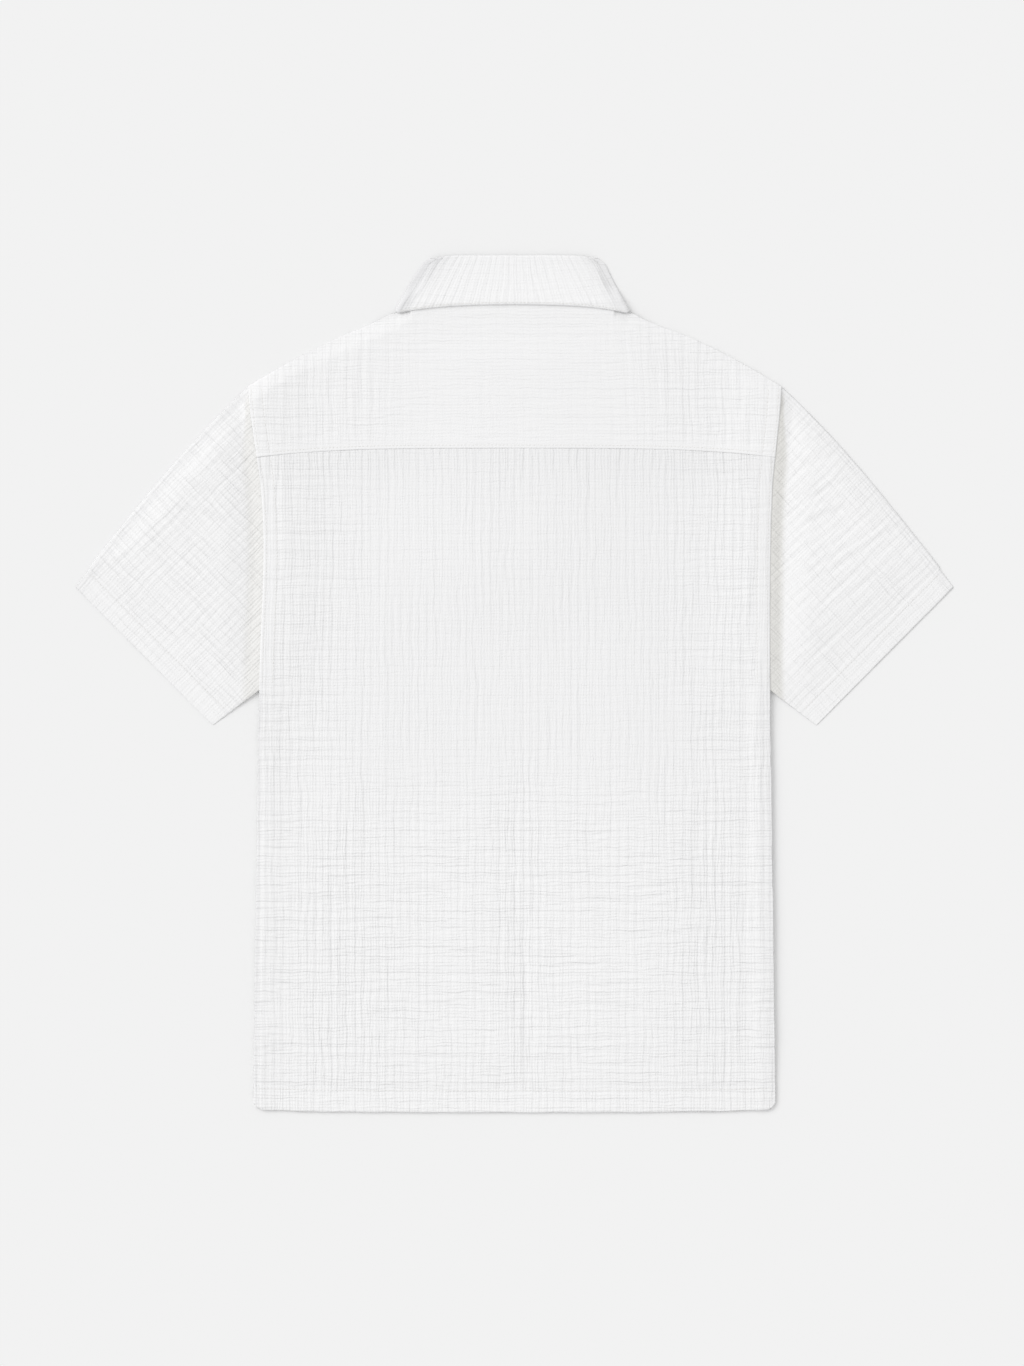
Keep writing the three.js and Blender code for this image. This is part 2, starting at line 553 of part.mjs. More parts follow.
// Button: a turned disc with a raised rim, sewn through four holes. Its face is down.
function button() {
  const { r, thick, rim, hole, holeAt, sides } = BUTTON;
  const profile = [
    { out: 0, up: rim },
    { out: 0.6 * r, up: rim },
    { out: 0.75 * r, up: 0 },
    { out: 0.92 * r, up: 0 },
    { out: r, up: rim },
    { out: 0.96 * r, up: 0.7 * thick },
    { out: 0.8 * r, up: thick },
    { out: 0, up: thick },
  ];
  const turned = new THREE.LatheGeometry(profile.map(({ out, up }) => new THREE.Vector2(out, up)), sides);
  let solid = solidOf(turned.rotateX(Math.PI / 2));
  for (const quarter of [0, 1, 2, 3]) {
    const drill = new THREE.CylinderGeometry(hole, hole, 4 * thick, 6).rotateX(Math.PI / 2);
    drill.translate(holeAt, holeAt, 0).rotateZ((quarter * Math.PI) / 2);
    solid = solid.subtract(solidOf(drill));
  }
  return geometryOf(solid);
}

// The shirt
const cloth = () => new THREE.MeshStandardMaterial({ color: COLOUR.cloth, roughness: 0.95, metalness: 0 });
const shell = () => new THREE.MeshStandardMaterial({ color: COLOUR.button, roughness: 0.35, metalness: 0 });

function named(name, geometry, material = cloth()) {
  const mesh = new THREE.Mesh(geometry, material);
  mesh.name = name;
  return mesh;
}

const shirt = new THREE.Group();
shirt.add(named("back", backPanel()));
shirt.add(named("yoke", yoke()));
shirt.add(named("front", frontPanel()));
shirt.add(named("collar_fall", collarFall()));
shirt.add(named("collar_stand", collarStand()));
shirt.add(named("placket_outer", band(PLACKET.half, PLACKET.low, PLACKET.high, PLACKET.outer)));
shirt.add(named("placket_under", band(PLACKET.under, PLACKET.underLow, PLACKET.high, PLACKET.inner)));

const rightSleeve = named("sleeve_right", sleeve());
const leftSleeve = named("sleeve_left", sleeve());
leftSleeve.scale.x = -1;
shirt.add(rightSleeve, leftSleeve);

for (let i = 0; i < BUTTON_ROW.count; i += 1) {
  const mesh = named(`button_${i + 1}`, button(), shell());
  mesh.position.copy(placed(0, BUTTON_ROW.first - i * BUTTON_ROW.pitch, 0));
  shirt.add(mesh);
}

export default shirt;
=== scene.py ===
"""A short-sleeved polo shirt of crinkled double gauze, laid flat and face down, seen from straight above.

Lengths are millimetres until a mesh is made. X runs across the shirt, and a height is measured along Y from
the lowest point of the hem. Each cut piece is a closed wall of cloth: a fine outer face with its folds and
crinkle, and a plain inner face.
"""
import math

import bpy
import numpy as np
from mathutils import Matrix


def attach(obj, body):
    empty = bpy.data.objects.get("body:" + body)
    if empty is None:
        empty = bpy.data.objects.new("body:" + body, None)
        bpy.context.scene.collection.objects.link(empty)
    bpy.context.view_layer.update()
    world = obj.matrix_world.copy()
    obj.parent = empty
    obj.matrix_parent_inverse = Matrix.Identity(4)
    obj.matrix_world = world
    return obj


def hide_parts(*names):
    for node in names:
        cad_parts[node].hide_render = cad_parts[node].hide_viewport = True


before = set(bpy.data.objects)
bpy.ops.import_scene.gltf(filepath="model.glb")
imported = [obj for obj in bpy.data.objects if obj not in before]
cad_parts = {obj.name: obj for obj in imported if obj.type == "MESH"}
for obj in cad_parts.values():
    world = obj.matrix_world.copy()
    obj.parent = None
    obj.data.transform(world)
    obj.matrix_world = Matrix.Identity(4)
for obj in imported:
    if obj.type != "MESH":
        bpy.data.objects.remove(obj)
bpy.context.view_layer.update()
MM = 0.001

# Cloth
CLOTH = 1.4  # wall of crinkled double gauze
THIN_CLOTH = 1.2  # sleeves and placket bands
SEAM_GAP = 0.3
STITCH = {"pitch": 3.4, "long": 2.5, "radius": 0.24}

# Body outline, as heights above the hem and distances from the centre line
LENGTH = 771.0  # hem to the fold of the collar
SIDE_LINE = [
    {"height": 0, "half": 235.0},  # hem
    {"height": 190, "half": 232.3},
    {"height": 380, "half": 229.8},  # underarm
    {"height": 500, "half": 227.8},  # narrowest, half way up the armhole
    {"height": 560, "half": 229.8},
    {"height": 590, "half": 233.2},  # end of the yoke seam
    {"height": 625, "half": 237.6},
    {"height": 653, "half": 240.0},  # shoulder point
]
UNDERARM = 380.0
SHOULDER = {"half": 240.0, "height": 653.0}
NECK_SIDE = {"half": 93.0, "height": 729.0}
SHOULDER_BULGE = 3.0
SHOULDER_DIP = {"at": 125.0, "wide": 35.0, "deep": 2.4}  # beside the collar
SHOULDER_LEAN = 0.89  # cosine of the shoulder's slope
FOLD_NOTCH = {"at": 106.0, "wide": 3.0, "deep": 2.2}  # the shoulder seam's end, under the collar
HEM = {"rise": 2.6, "corner": 9.0, "half": 235.0, "band": 21.0, "doubled": 0.45, "stitch": 19.6, "tuck": 24.4}
YOKE_SEAM = {"height": 597.0, "drop": 8.0, "half": 233.0, "power": 3.8, "rise": 0.28, "fade": 25.0,
             "stitch": 3.2}
BACK_NECK = {"height": 738.0, "drop": 9.0}
FRONT_NECK = 668.0

# How the layers lie on each other
SIDE_EDGE = {"lift": 1.2, "fade": 16.0, "crest": 3.2, "crest_at": 10.0, "crest_wide": 9.0, "round": 6.0}
LIP = {"top": 6.0, "under": 2.3, "wide": 12.0, "fade": 66.0, "round": 3.5, "edge": 5.4, "stitch": 2.6}
SHOULDER_EDGE = {"lift": 0.6, "fade": 14.0, "round": 7.0}
PLAIN_BACK = 2.3
PLACKET_DOME = {"rise": 3.2, "from": 16.0, "to": 150.0, "start": 395.0, "full": 512.0, "end": 669.0,
                "gone": 724.0}
NECK_RISE = {"rise": 1.9, "start": 545.0, "full": 630.0, "from": 110.0, "to": 205.0}
LEAF_ROOM = {"flat": 12.0, "fade": 34.0}
PRESS = {"hem": 0.5, "shoulder": 0.6, "sleeve": 0.34, "fold": 0.26, "roll": 0.4, "collar": 43.0,
         "wide": 15.0, "hem_wide": 75.0, "cuff": 0.1, "cuff_wide": 80.0, "sleeve_wide": 30.0,
         "fold_heights": (728, 745)}

# Collar
FALL = {"thick": 2.2, "lip": 1.7, "edge_height": 726.4, "edge_drop": 5.6, "roll": 3.2, "roll_low": 2.3,
        "edge_round": 3.2, "edge_low": 1.8, "stitch": 2.0, "droop": 1.2, "droop_wide": 17.0}
COLLAR_STEPS = (60, 24, 216)  # rulings of the fall in front, round a side fold and behind
DRAWN_IN = {"by": 3.8, "from": 650.0, "low": 712.0, "high": 745.0, "to": 776.0}
LEAN = {"by": 2.4, "at": 520.0, "wide": 90.0}  # of the armholes, to the right
COLLAR_BULGE = {"out": 2.3, "corner": 3.2, "reach": 14.0}
STAND = {"thick": 1.4, "gap": 3.6}
COLLAR_CENTRE = 4.05
FOLD_TOP = np.array([74.3, LENGTH])
FOLD_END = np.array([107.5, 721.0])
POINT = np.array([58.0, 641.0])
FRONT_TOP = np.array([4.0, 692.0])
ROLL_PULL = np.array([50.0, 704.0])

# Sleeve, on the +X side
CUFF_TOP = np.array([396.0, 473.4])
CUFF_END = np.array([271.4, 348.3])
SLEEVE = {"bulge": 5.0, "height": 5.7, "valley": 2.7, "valley_wide": 38.0, "underarm": 4.6, "seam": 5.0,
          "round": 3.2, "hem": 20.0, "stitch_in": 2.2, "turn": 0.0009}
# shade and grey set how strong the painted shade is in the trough and on the lines inside the top edge
SLEEVE_SIDES = {  # how the sleeve at the right of the picture (1) and at its left (-1) is creased and shaded
    1: {"seed": 271, "creased": 1.05, "narrow": 0.8, "upright": 0.85, "level": 0.95, "shade": 1.0,
        "grey": 0.6},
    -1: {"seed": 211, "creased": 1.3, "narrow": 1.0, "upright": 1.9, "level": 0.5, "shade": 0.62,
         "grey": 1.0},
}
SLEEVE_NOTCH = {"deep": 1.1, "from": 0.906, "to": 0.914}  # the top edge steps in at the hem
SLEEVE_EDGE = {"top": 1.9, "underarm": 3.6, "cuff": 2.1, "lift": 18.0}

# Placket, on the front
PLACKET = {"half": 14.0, "low": 520.0, "high": 667.0, "outer": 2.5, "inner": 4.0, "under": 13.0, "ramp": 20.0}
BUTTON = {"first": 652.0, "pitch": 50.0, "count": 3, "radius": 5.75, "hole_at": 1.5, "thick": 2.2,
          "bowl": 0.5, "edge": 0.3, "pit": 0.9, "pit_wide": 0.55}

CREASE_SHARE = 0.8  # of their full depth, for all creases in the meshes
COARSE = 4  # an inner face has every fourth row and column of its outer face
NO_TRIANGLES = np.empty((0, 3), int)


# Formulas

def mix(a, b, t):
    """From a at t = 0 to b at t = 1."""
    return a + (b - a) * t


def smooth(a, b, x):
    """0 up to a, 1 from b on, and a cubic between."""
    s = np.clip((x - a) / (b - a), 0, 1)
    return s * s * (3 - 2 * s)


def round_off(t):
    """A quarter circle: 0 at the edge of a rounded wall and 1 from the end of the rounding."""
    return np.sqrt(1 - (1 - np.clip(t, 0, 1)) ** 2)


def hill(x, wide):
    """A bell of height 1 that falls to 1/e at wide."""
    return np.exp(-((x / wide) ** 2))


def lattice(i, j, seed):
    """A number from -1 to 1 for each whole place (i, j), scrambled by shifts and products."""
    n = (i * 374761393 + j * 668265263 + seed * 974634077) & 0xFFFFFFFF
    n = ((n ^ (n >> 13)) * 1274126177) & 0xFFFFFFFF
    return ((n ^ (n >> 16)) & 0xFFFF) / 32767.5 - 1


def noise(u, v, seed):
    """Smooth noise from -1 to 1: the lattice's numbers, mixed by a cubic between whole places."""
    u, v = np.broadcast_arrays(np.asarray(u, float), np.asarray(v, float))
    i, j = np.floor(u).astype(np.int64), np.floor(v).astype(np.int64)
    a, b = u - i, v - j
    a, b = a * a * (3 - 2 * a), b * b * (3 - 2 * b)
    low = mix(lattice(i, j, seed), lattice(i + 1, j, seed), a)
    high = mix(lattice(i, j + 1, seed), lattice(i + 1, j + 1, seed), a)
    return mix(low, high, b)


def furrows(along, across, pitch, seed, wander=0.35, long=45):
    """Long puffs with a narrow crease between each two: |sin| of the distance across over the pitch.

    Slow noise moves the creases sideways. Each crease has a depth of its own, which noise makes deeper and
    shallower along it. The result is about 0 on the puffs' flanks and falls to -depth in a crease."""
    phase = across / pitch + wander * noise(along / 85, across / (4.1 * pitch), seed)
    phase = phase + 0.45 * wander * noise(along / 27, across / (2.3 * pitch), seed + 1)
    depth = 0.6 + 0.8 * noise(along / long, np.round(phase) * 3.71, seed + 2)
    depth = np.clip(depth + 0.2 * noise(along / 14, np.round(phase) * 5.13, seed + 3), 0, 1.5)
    return CREASE_SHARE * (0.2 - depth * (1 - np.abs(np.sin(np.pi * phase)) ** 1.45))


def cubic_through(rows, x_name, y_name, x):
    """A cubic through a table's rows, with each slope taken from its neighbours."""
    xs = np.array([row[x_name] for row in rows], float)
    ys = np.array([row[y_name] for row in rows], float)
    slope = np.empty_like(ys)
    slope[1:-1] = (ys[2:] - ys[:-2]) / (xs[2:] - xs[:-2])
    slope[0] = (ys[1] - ys[0]) / (xs[1] - xs[0])
    slope[-1] = (ys[-1] - ys[-2]) / (xs[-1] - xs[-2])
    x = np.clip(x, xs[0], xs[-1])
    i = np.clip(np.searchsorted(xs, x, side="right") - 1, 0, len(xs) - 2)
    span = xs[i + 1] - xs[i]
    t = (x - xs[i]) / span
    start = (2 * t**3 - 3 * t**2 + 1) * ys[i] + (t**3 - 2 * t**2 + t) * span * slope[i]
    end = (3 * t**2 - 2 * t**3) * ys[i + 1] + (t**3 - t**2) * span * slope[i + 1]
    return start + end


def half_width(height):
    """Half width of the body at a height."""
    return cubic_through(SIDE_LINE, "height", "half", height)


def lengths(path):
    """Length along a path up to each of its places."""
    return np.concatenate([[0], np.cumsum(np.linalg.norm(np.diff(path, axis=0), axis=1))])


def runs(*stretches):
    """Places along an edge, from stretches of (start, end, steps) that follow each other."""
    parts = [np.linspace(a, b, n, endpoint=False) for a, b, n in stretches]
    return np.append(np.concatenate(parts), stretches[-1][1])


# Outlines

def hem_line(x):
    """The hem sags a little between the side seams, and its corners are round."""
    into = np.clip(np.abs(x) - (HEM["half"] - HEM["corner"]), 0, HEM["corner"])
    corner = HEM["corner"] - np.sqrt(HEM["corner"] ** 2 - into**2)
    return HEM["rise"] * (x / HEM["half"]) ** 4 + corner


def yoke_seam(x):
    """The yoke seam is straight, and drops towards the armholes."""
    return YOKE_SEAM["height"] - YOKE_SEAM["drop"] * (np.abs(x) / YOKE_SEAM["half"]) ** YOKE_SEAM["power"]


def shoulder_line(x):
    """A straight slope from neck to shoulder point with a slight bulge, a dip beside the collar and a notch
    under the collar's end."""
    t = (np.abs(x) - NECK_SIDE["half"]) / (SHOULDER["half"] - NECK_SIDE["half"])
    bulge = SHOULDER_BULGE * np.sin(np.pi * np.clip(t, 0, 1) ** 1.3)
    notch = FOLD_NOTCH["deep"] * hill(np.abs(x) - FOLD_NOTCH["at"], FOLD_NOTCH["wide"])
    dip = SHOULDER_DIP["deep"] * hill(np.abs(x) - SHOULDER_DIP["at"], SHOULDER_DIP["wide"])
    return mix(NECK_SIDE["height"], SHOULDER["height"], t) + bulge - notch - dip


def back_neck(x):
    """Back of the neck, a shallow parabola."""
    return BACK_NECK["height"] - BACK_NECK["drop"] * (x / NECK_SIDE["half"]) ** 2


def back_top(x):
    """Back of the neck and the shoulders."""
    return np.where(np.abs(x) < NECK_SIDE["half"], back_neck(x), shoulder_line(x))


def front_top(x):
    """Front of the neck, half an ellipse, and the shoulders."""
    share = np.clip(np.abs(x) / NECK_SIDE["half"], 0, 1)
    neck = NECK_SIDE["height"] - (NECK_SIDE["height"] - FRONT_NECK) * np.sqrt(1 - share**2)
    return np.where(np.abs(x) < NECK_SIDE["half"], neck, shoulder_line(x))


# Heights of the layers

def outside(a, b, x, y):
    """Distance outside the straight line from a to b, positive to its right."""
    way = b - a
    return ((x - a[0]) * way[1] - (y - a[1]) * way[0]) / np.hypot(*way)


def under_leaf(x, height):
    """1 where the collar's front leaf lies under the front panel, fading to 0 beyond it."""
    side = np.abs(x)
    away = np.maximum(-outside(FOLD_END, POINT, side, height), -outside(POINT, FRONT_TOP, side, height))
    return 1 - smooth(LEAF_ROOM["flat"], LEAF_ROOM["fade"], away)


def armhole_zone(height):
    """1 beside the armholes and 0 below the underarm."""
    return smooth(UNDERARM - 34, UNDERARM + 46, height)


def from_side(x, height):
    """Distance inside the side line."""
    return np.maximum(0, half_width(height) - np.abs(x))


def from_shoulder(x, height):
    """Distance inside the shoulder seam."""
    inside = np.maximum(0, (shoulder_line(x) - height) * SHOULDER_LEAN)
    return np.where(np.abs(x) > NECK_SIDE["half"], inside, 1000.0)


def front_under(x, height):
    """Underside of the front, on the plane but for its edges, the placket and the collar points."""
    below = 1 - armhole_zone(height)
    side = SIDE_EDGE["lift"] * below * (1 - smooth(0, SIDE_EDGE["fade"], from_side(x, height)))
    shoulder = SHOULDER_EDGE["lift"] * (1 - smooth(0, SHOULDER_EDGE["fade"], from_shoulder(x, height)))
    beside = 1 - smooth(PLACKET["half"], PLACKET["half"] + PLACKET["ramp"], np.abs(x))
    placket = PLACKET["outer"] * beside * smooth(PLACKET["low"] - PLACKET["ramp"], PLACKET["low"], height)
    leaf = PLACKET["outer"] * under_leaf(x, height)
    return np.maximum(np.maximum(side, shoulder), np.maximum(placket, leaf))


def pressed(x, height):
    """How flat the layers of the body are pressed: 1 inside, less along the hem and the shoulder seams."""
    hem = mix(PRESS["hem"], 1, smooth(-8, PRESS["hem_wide"], height - hem_line(x)))
    return hem * mix(PRESS["shoulder"], 1, smooth(0, PRESS["wide"], from_shoulder(x, height)))


def plain_inner(x, height):
    """Underside of the back and yoke, before the edges: swells over the placket and the collar's points."""
    side = np.abs(x)
    along = smooth(PLACKET_DOME["start"], PLACKET_DOME["full"], height)
    ends = 1 - smooth(PLACKET_DOME["end"], PLACKET_DOME["gone"], height)
    dome = PLACKET_DOME["rise"] * (1 - smooth(PLACKET_DOME["from"], PLACKET_DOME["to"], side)) * along * ends
    up = smooth(NECK_RISE["start"], NECK_RISE["full"], height)
    neck = NECK_RISE["rise"] * up * (1 - smooth(NECK_RISE["from"], NECK_RISE["to"], side))
    return PLAIN_BACK + np.cbrt(dome**3 + neck**3)


def rolled_side(low, plain, crest, away):
    """The roll along a free side: up from the edge's height to a crest a little inside, and then plain."""
    near = hill(away - SIDE_EDGE["crest_at"], SIDE_EDGE["crest_wide"])
    return mix(low, mix(plain, crest, near), round_off(away / SIDE_EDGE["round"]))


def back_inner(x, height):
    """Underside of the back and yoke: a soft roll along the sides, and low under the felled armhole seam."""
    plain, away = plain_inner(x, height), from_side(x, height)
    rolled = rolled_side(SIDE_EDGE["lift"] + CLOTH + SEAM_GAP, plain, SIDE_EDGE["crest"], away)
    lip = mix(LIP["under"], plain, smooth(LIP["wide"] - 2, LIP["fade"] - 4, away))
    inner = mix(rolled, lip, armhole_zone(height))
    shoulder = round_off(from_shoulder(x, height) / SHOULDER_EDGE["round"])
    free = front_under(x, height) + CLOTH + SEAM_GAP
    return np.maximum(free, mix(SHOULDER_EDGE["lift"] + CLOTH + SEAM_GAP, inner, shoulder))


def back_outer(x, height):
    """Top of the back and yoke without crinkle: a wall above the underside, thicker at the armhole seam."""
    plain, away = plain_inner(x, height) + CLOTH, from_side(x, height)
    low = SIDE_EDGE["lift"] + 2 * CLOTH + SEAM_GAP
    rolled = rolled_side(low, plain, SIDE_EDGE["crest"] + CLOTH, away)
    felled = mix(LIP["top"], plain, smooth(LIP["wide"], LIP["fade"], away))
    lip = mix(LIP["edge"], felled, round_off(away / LIP["round"]))
    outer = mix(rolled, lip, armhole_zone(height))
    shoulder = round_off(from_shoulder(x, height) / SHOULDER_EDGE["round"])
    edge = SHOULDER_EDGE["lift"] + 2 * CLOTH + SEAM_GAP
    return np.maximum(back_inner(x, height) + THIN_CLOTH, mix(edge, outer, shoulder))


# Crinkle, added to the outer faces

def back_crinkle(x, height):
    """Upright creases everywhere, and level ones at the sides and lower down that make a grid of puffs."""
    middle = (1 - smooth(110, 205, np.abs(x) + 14 * noise(height / 60, 0, 5))) * smooth(215, 345, height)
    top = hill(YOKE_SEAM["height"] - height, 45)
    upright = furrows(height, x, 8.6, 21, 0.3, 60) * (0.26 - 0.08 * middle)
    level = furrows(x, height, 9.6, 31, 0.45, 80) * 0.50 * (1 - 0.86 * middle) * (1 - 0.6 * top)
    swell = 0.14 * noise(x / 48, height / 70, 51) + 0.06 * noise(x / 19, height / 33, 52)
    return upright + level + swell


def yoke_crinkle(x, height):
    """Level creases, broad uprights towards the ends, and calm along the seam and under the collar."""
    ends = smooth(60, 150, np.abs(x))
    level = furrows(x, height, 7.6, 61, 0.3, 50) * (0.11 + 0.14 * ends)
    upright = furrows(height, x, 12.6, 71, 0.3, 60) * (0.08 + 0.26 * ends)
    calm = 0.25 + 0.75 * smooth(2, 14, height - yoke_seam(x))
    hidden = 1 - smooth(715, 722, height) * (1 - smooth(96, 104, np.abs(x)))
    return ((level + upright) * calm + 0.1 * noise(x / 50, height / 40, 91)) * hidden


def felled_seam(x, height, inside):
    """1 in the felled seam inside each armhole, fading to 0 a little past its inner stitches."""
    return (1 - smooth(inside, 14.5, from_side(x, height))) * armhole_zone(height)


def puckers(x, height):
    """The stitched grooves of the felled seam inside each armhole, and short level puckers between them."""
    away = from_side(x, height)
    band = felled_seam(x, height, 10)
    drawn = furrows(x, height, 4.6, 101, 0.3, 20) * 0.16 * band * (0.4 + 0.6 * smooth(585, 600, height))
    grooves = 0.20 * hill(away - LIP["wide"], 1.2) + 0.18 * hill(away - LIP["stitch"], 0.9)
    return drawn - grooves * armhole_zone(height)


CREASES = [  # soft troughs (minus) and ridges of the back, from one place to another
    {"x0": 9, "y0": 12, "x1": 3, "y1": 200, "wide": 9, "deep": -0.7},
    {"x0": 12, "y0": 18, "x1": 10, "y1": 150, "wide": 3.5, "deep": -0.25},
    {"x0": 23, "y0": 20, "x1": 18, "y1": 240, "wide": 4, "deep": -0.2},
    {"x0": -2, "y0": 90, "x1": -3, "y1": 262, "wide": 3.2, "deep": -0.22},
    {"x0": -14, "y0": 80, "x1": -13, "y1": 275, "wide": 3.4, "deep": -0.24},
    {"x0": 4, "y0": 100, "x1": 4, "y1": 250, "wide": 2.4, "deep": 0.2},
    {"x0": -119, "y0": 280, "x1": -118, "y1": 505, "wide": 1.7, "deep": 0.26},
    {"x0": -166, "y0": 60, "x1": -164, "y1": 232, "wide": 3, "deep": -0.32},
    {"x0": -153, "y0": 40, "x1": -151, "y1": 288, "wide": 2.6, "deep": -0.24},
    {"x0": -139, "y0": 180, "x1": -131, "y1": 330, "wide": 3, "deep": -0.26},
    {"x0": -178, "y0": 90, "x1": -181, "y1": 420, "wide": 3, "deep": -0.2},
    {"x0": 164, "y0": 30, "x1": 163, "y1": 430, "wide": 3, "deep": -0.26},
    {"x0": 176, "y0": 25, "x1": 172, "y1": 330, "wide": 2.6, "deep": -0.24},
    {"x0": 190, "y0": 30, "x1": 187, "y1": 300, "wide": 2.8, "deep": -0.22},
    {"x0": 205, "y0": 15, "x1": 207, "y1": 445, "wide": 2.6, "deep": -0.42},
    {"x0": 216, "y0": 20, "x1": 217, "y1": 420, "wide": 3, "deep": 0.3},
    {"x0": -206, "y0": 470, "x1": -209, "y1": 590, "wide": 3.2, "deep": 0.5},
    {"x0": -212, "y0": 380, "x1": -207, "y1": 520, "wide": 5, "deep": -0.3},
    {"x0": 207, "y0": 430, "x1": 212, "y1": 585, "wide": 4, "deep": 0.5},
    {"x0": -190, "y0": 268, "x1": -60, "y1": 262, "wide": 3, "deep": -0.22},
    {"x0": -60, "y0": 210, "x1": 90, "y1": 212, "wide": 2.6, "deep": -0.2},
    {"x0": 30, "y0": 196, "x1": 150, "y1": 186, "wide": 2.8, "deep": -0.22},
    {"x0": 20, "y0": 104, "x1": 155, "y1": 112, "wide": 2.8, "deep": 0.24},
    {"x0": 60, "y0": 98, "x1": 150, "y1": 88, "wide": 2.4, "deep": -0.26},
    {"x0": -130, "y0": 88, "x1": -50, "y1": 97, "wide": 2.4, "deep": -0.26},
    {"x0": -150, "y0": 128, "x1": 10, "y1": 124, "wide": 2.6, "deep": -0.2},
    {"x0": -120, "y0": 58, "x1": -20, "y1": 46, "wide": 2.6, "deep": -0.24},
    {"x0": 40, "y0": 52, "x1": 160, "y1": 60, "wide": 2.6, "deep": -0.2},
]


def creased(x, height, rows):
    """Adds up the creases of a table: a bell across each straight line, fading at both its ends."""
    total = np.zeros(np.broadcast(x, height).shape)
    for row in rows:
        way = np.array([row["x1"] - row["x0"], row["y1"] - row["y0"]])
        dx, dy = x - row["x0"], height - row["y0"]
        long = np.hypot(*way)
        along = (dx * way[0] + dy * way[1]) / long**2
        across = (dx * way[1] - dy * way[0]) / long
        across = across + 0.5 * row["wide"] * noise(along * long / 40, 0, int(abs(row["y0"])))
        fade = smooth(-0.1, 0.2, along) * (1 - smooth(0.8, 1.1, along))
        total = total + CREASE_SHARE * row["deep"] * hill(across, row["wide"]) * fade
    return total


def edge_calm(x, height):
    """0 at the free edges and 1 from a few millimetres inside, for the crinkle of the back and yoke."""
    return round_off((np.minimum(from_side(x, height), from_shoulder(x, height)) + 0.6) / 7)


def back_top_face(x, height):
    """Top of the back panel: plain height, hem band, crinkle, creases and the armhole's puckers."""
    into = height - hem_line(x)
    band = 1 - smooth(HEM["band"] - 0.9, HEM["band"] + 0.9, into)
    grooves = 0.36 * hill(into - HEM["stitch"], 1.1), 0.22 * hill(into - HEM["tuck"], 1.3)
    hem = HEM["doubled"] * band - grooves[0] - grooves[1]
    hem = hem + band * furrows(x, height, 6.2, 111, 0.5, 40) * 0.22
    under_yoke = -0.04 * hill(yoke_seam(x) - height, 1.6)
    shape = back_crinkle(x, height) * (1 - 0.5 * band) + creased(x, height, CREASES)
    edge = round_off((into + 0.5) / 3)
    relief = (shape * edge_calm(x, height) + hem + puckers(x, height)) * edge
    return (back_outer(x, height) + relief + under_yoke) * pressed(x, height)


def back_under_face(x, height):
    """Underside of the back panel and the yoke."""
    return back_inner(x, height) * pressed(x, height)


def yoke_top_face(x, height):
    """Top of the yoke: raised at its seam over the back, with a stitched groove."""
    above = height - yoke_seam(x)
    rise = YOKE_SEAM["rise"] * (1 - smooth(0, YOKE_SEAM["fade"], above))
    edge = round_off((above + 0.15) / 1.6)
    groove = -0.08 * hill(above - YOKE_SEAM["stitch"], 0.8)
    crinkle = yoke_crinkle(x, height) * edge_calm(x, height) * edge
    face = back_outer(x, height) + crinkle + rise * edge + groove + puckers(x, height)
    return face * pressed(x, height)


# Meshes

def grid_quads(index, wrap):
    """Quads of a grid of vertex numbers, facing up where rows go up and columns go right."""
    right = np.roll(index, -1, axis=1) if wrap else index[:, 1:]
    left = index if wrap else index[:, :-1]
    return np.stack([left[:-1], right[:-1], right[1:], left[1:]], axis=-1).reshape(-1, 4)


def strip(fine, coarse):
    """Triangles between a fine line and a coarse one, which has one vertex for every few of it."""
    near = (np.arange(len(fine) - 1) + (COARSE + 1) // 2) // COARSE
    fans = np.stack([coarse[near], fine[1:], fine[:-1]], axis=-1)
    turn = (np.arange(len(coarse) - 1) + 1) * COARSE - (COARSE + 1) // 2
    links = np.stack([coarse[:-1], coarse[1:], fine[turn]], axis=-1)
    return np.concatenate([fans, links])


def make_mesh(name, points, triangles, quads, uv=None, marks=()):
    """A mesh in metres from points in millimetres, turned inside out if its volume comes out below 0.

    Marks are named values of its points, which the materials read."""
    points = settled(points)
    corners = np.concatenate([triangles.reshape(-1, 3), quads[:, :3], quads[:, [0, 2, 3]]])
    a, b, c = (points[corners[:, k]] for k in range(3))
    if np.einsum("ij,ij->", a, np.cross(b, c)) < 0:
        triangles, quads = triangles[:, ::-1], quads[:, ::-1]
    loops = np.concatenate([triangles.ravel(), quads.ravel()])
    starts = np.concatenate([np.arange(len(triangles)) * 3, len(triangles) * 3 + np.arange(len(quads)) * 4])
    mesh = bpy.data.meshes.new(name)
    mesh.vertices.add(len(points))
    mesh.vertices.foreach_set("co", ((points - [0, LENGTH / 2, 0]) * MM).astype(np.float32).ravel())
    mesh.loops.add(len(loops))
    mesh.loops.foreach_set("vertex_index", loops.astype(np.int32))
    mesh.polygons.add(len(starts))
    mesh.polygons.foreach_set("loop_start", starts.astype(np.int32))
    mesh.polygons.foreach_set("use_smooth", np.ones(len(starts), bool))
    if uv is not None:
        layer = mesh.uv_layers.new(name="cloth")
        layer.data.foreach_set("uv", (uv[loops] * MM).astype(np.float32).ravel())
    for mark, values in dict(marks).items():
        mesh.attributes.new(mark, "FLOAT", "POINT").data.foreach_set("value", values.astype(np.float32))
    mesh.update(calc_edges=True)
    mesh.validate()
    piece = bpy.data.objects.new(name, mesh)
    bpy.context.scene.collection.objects.link(piece)
    return piece


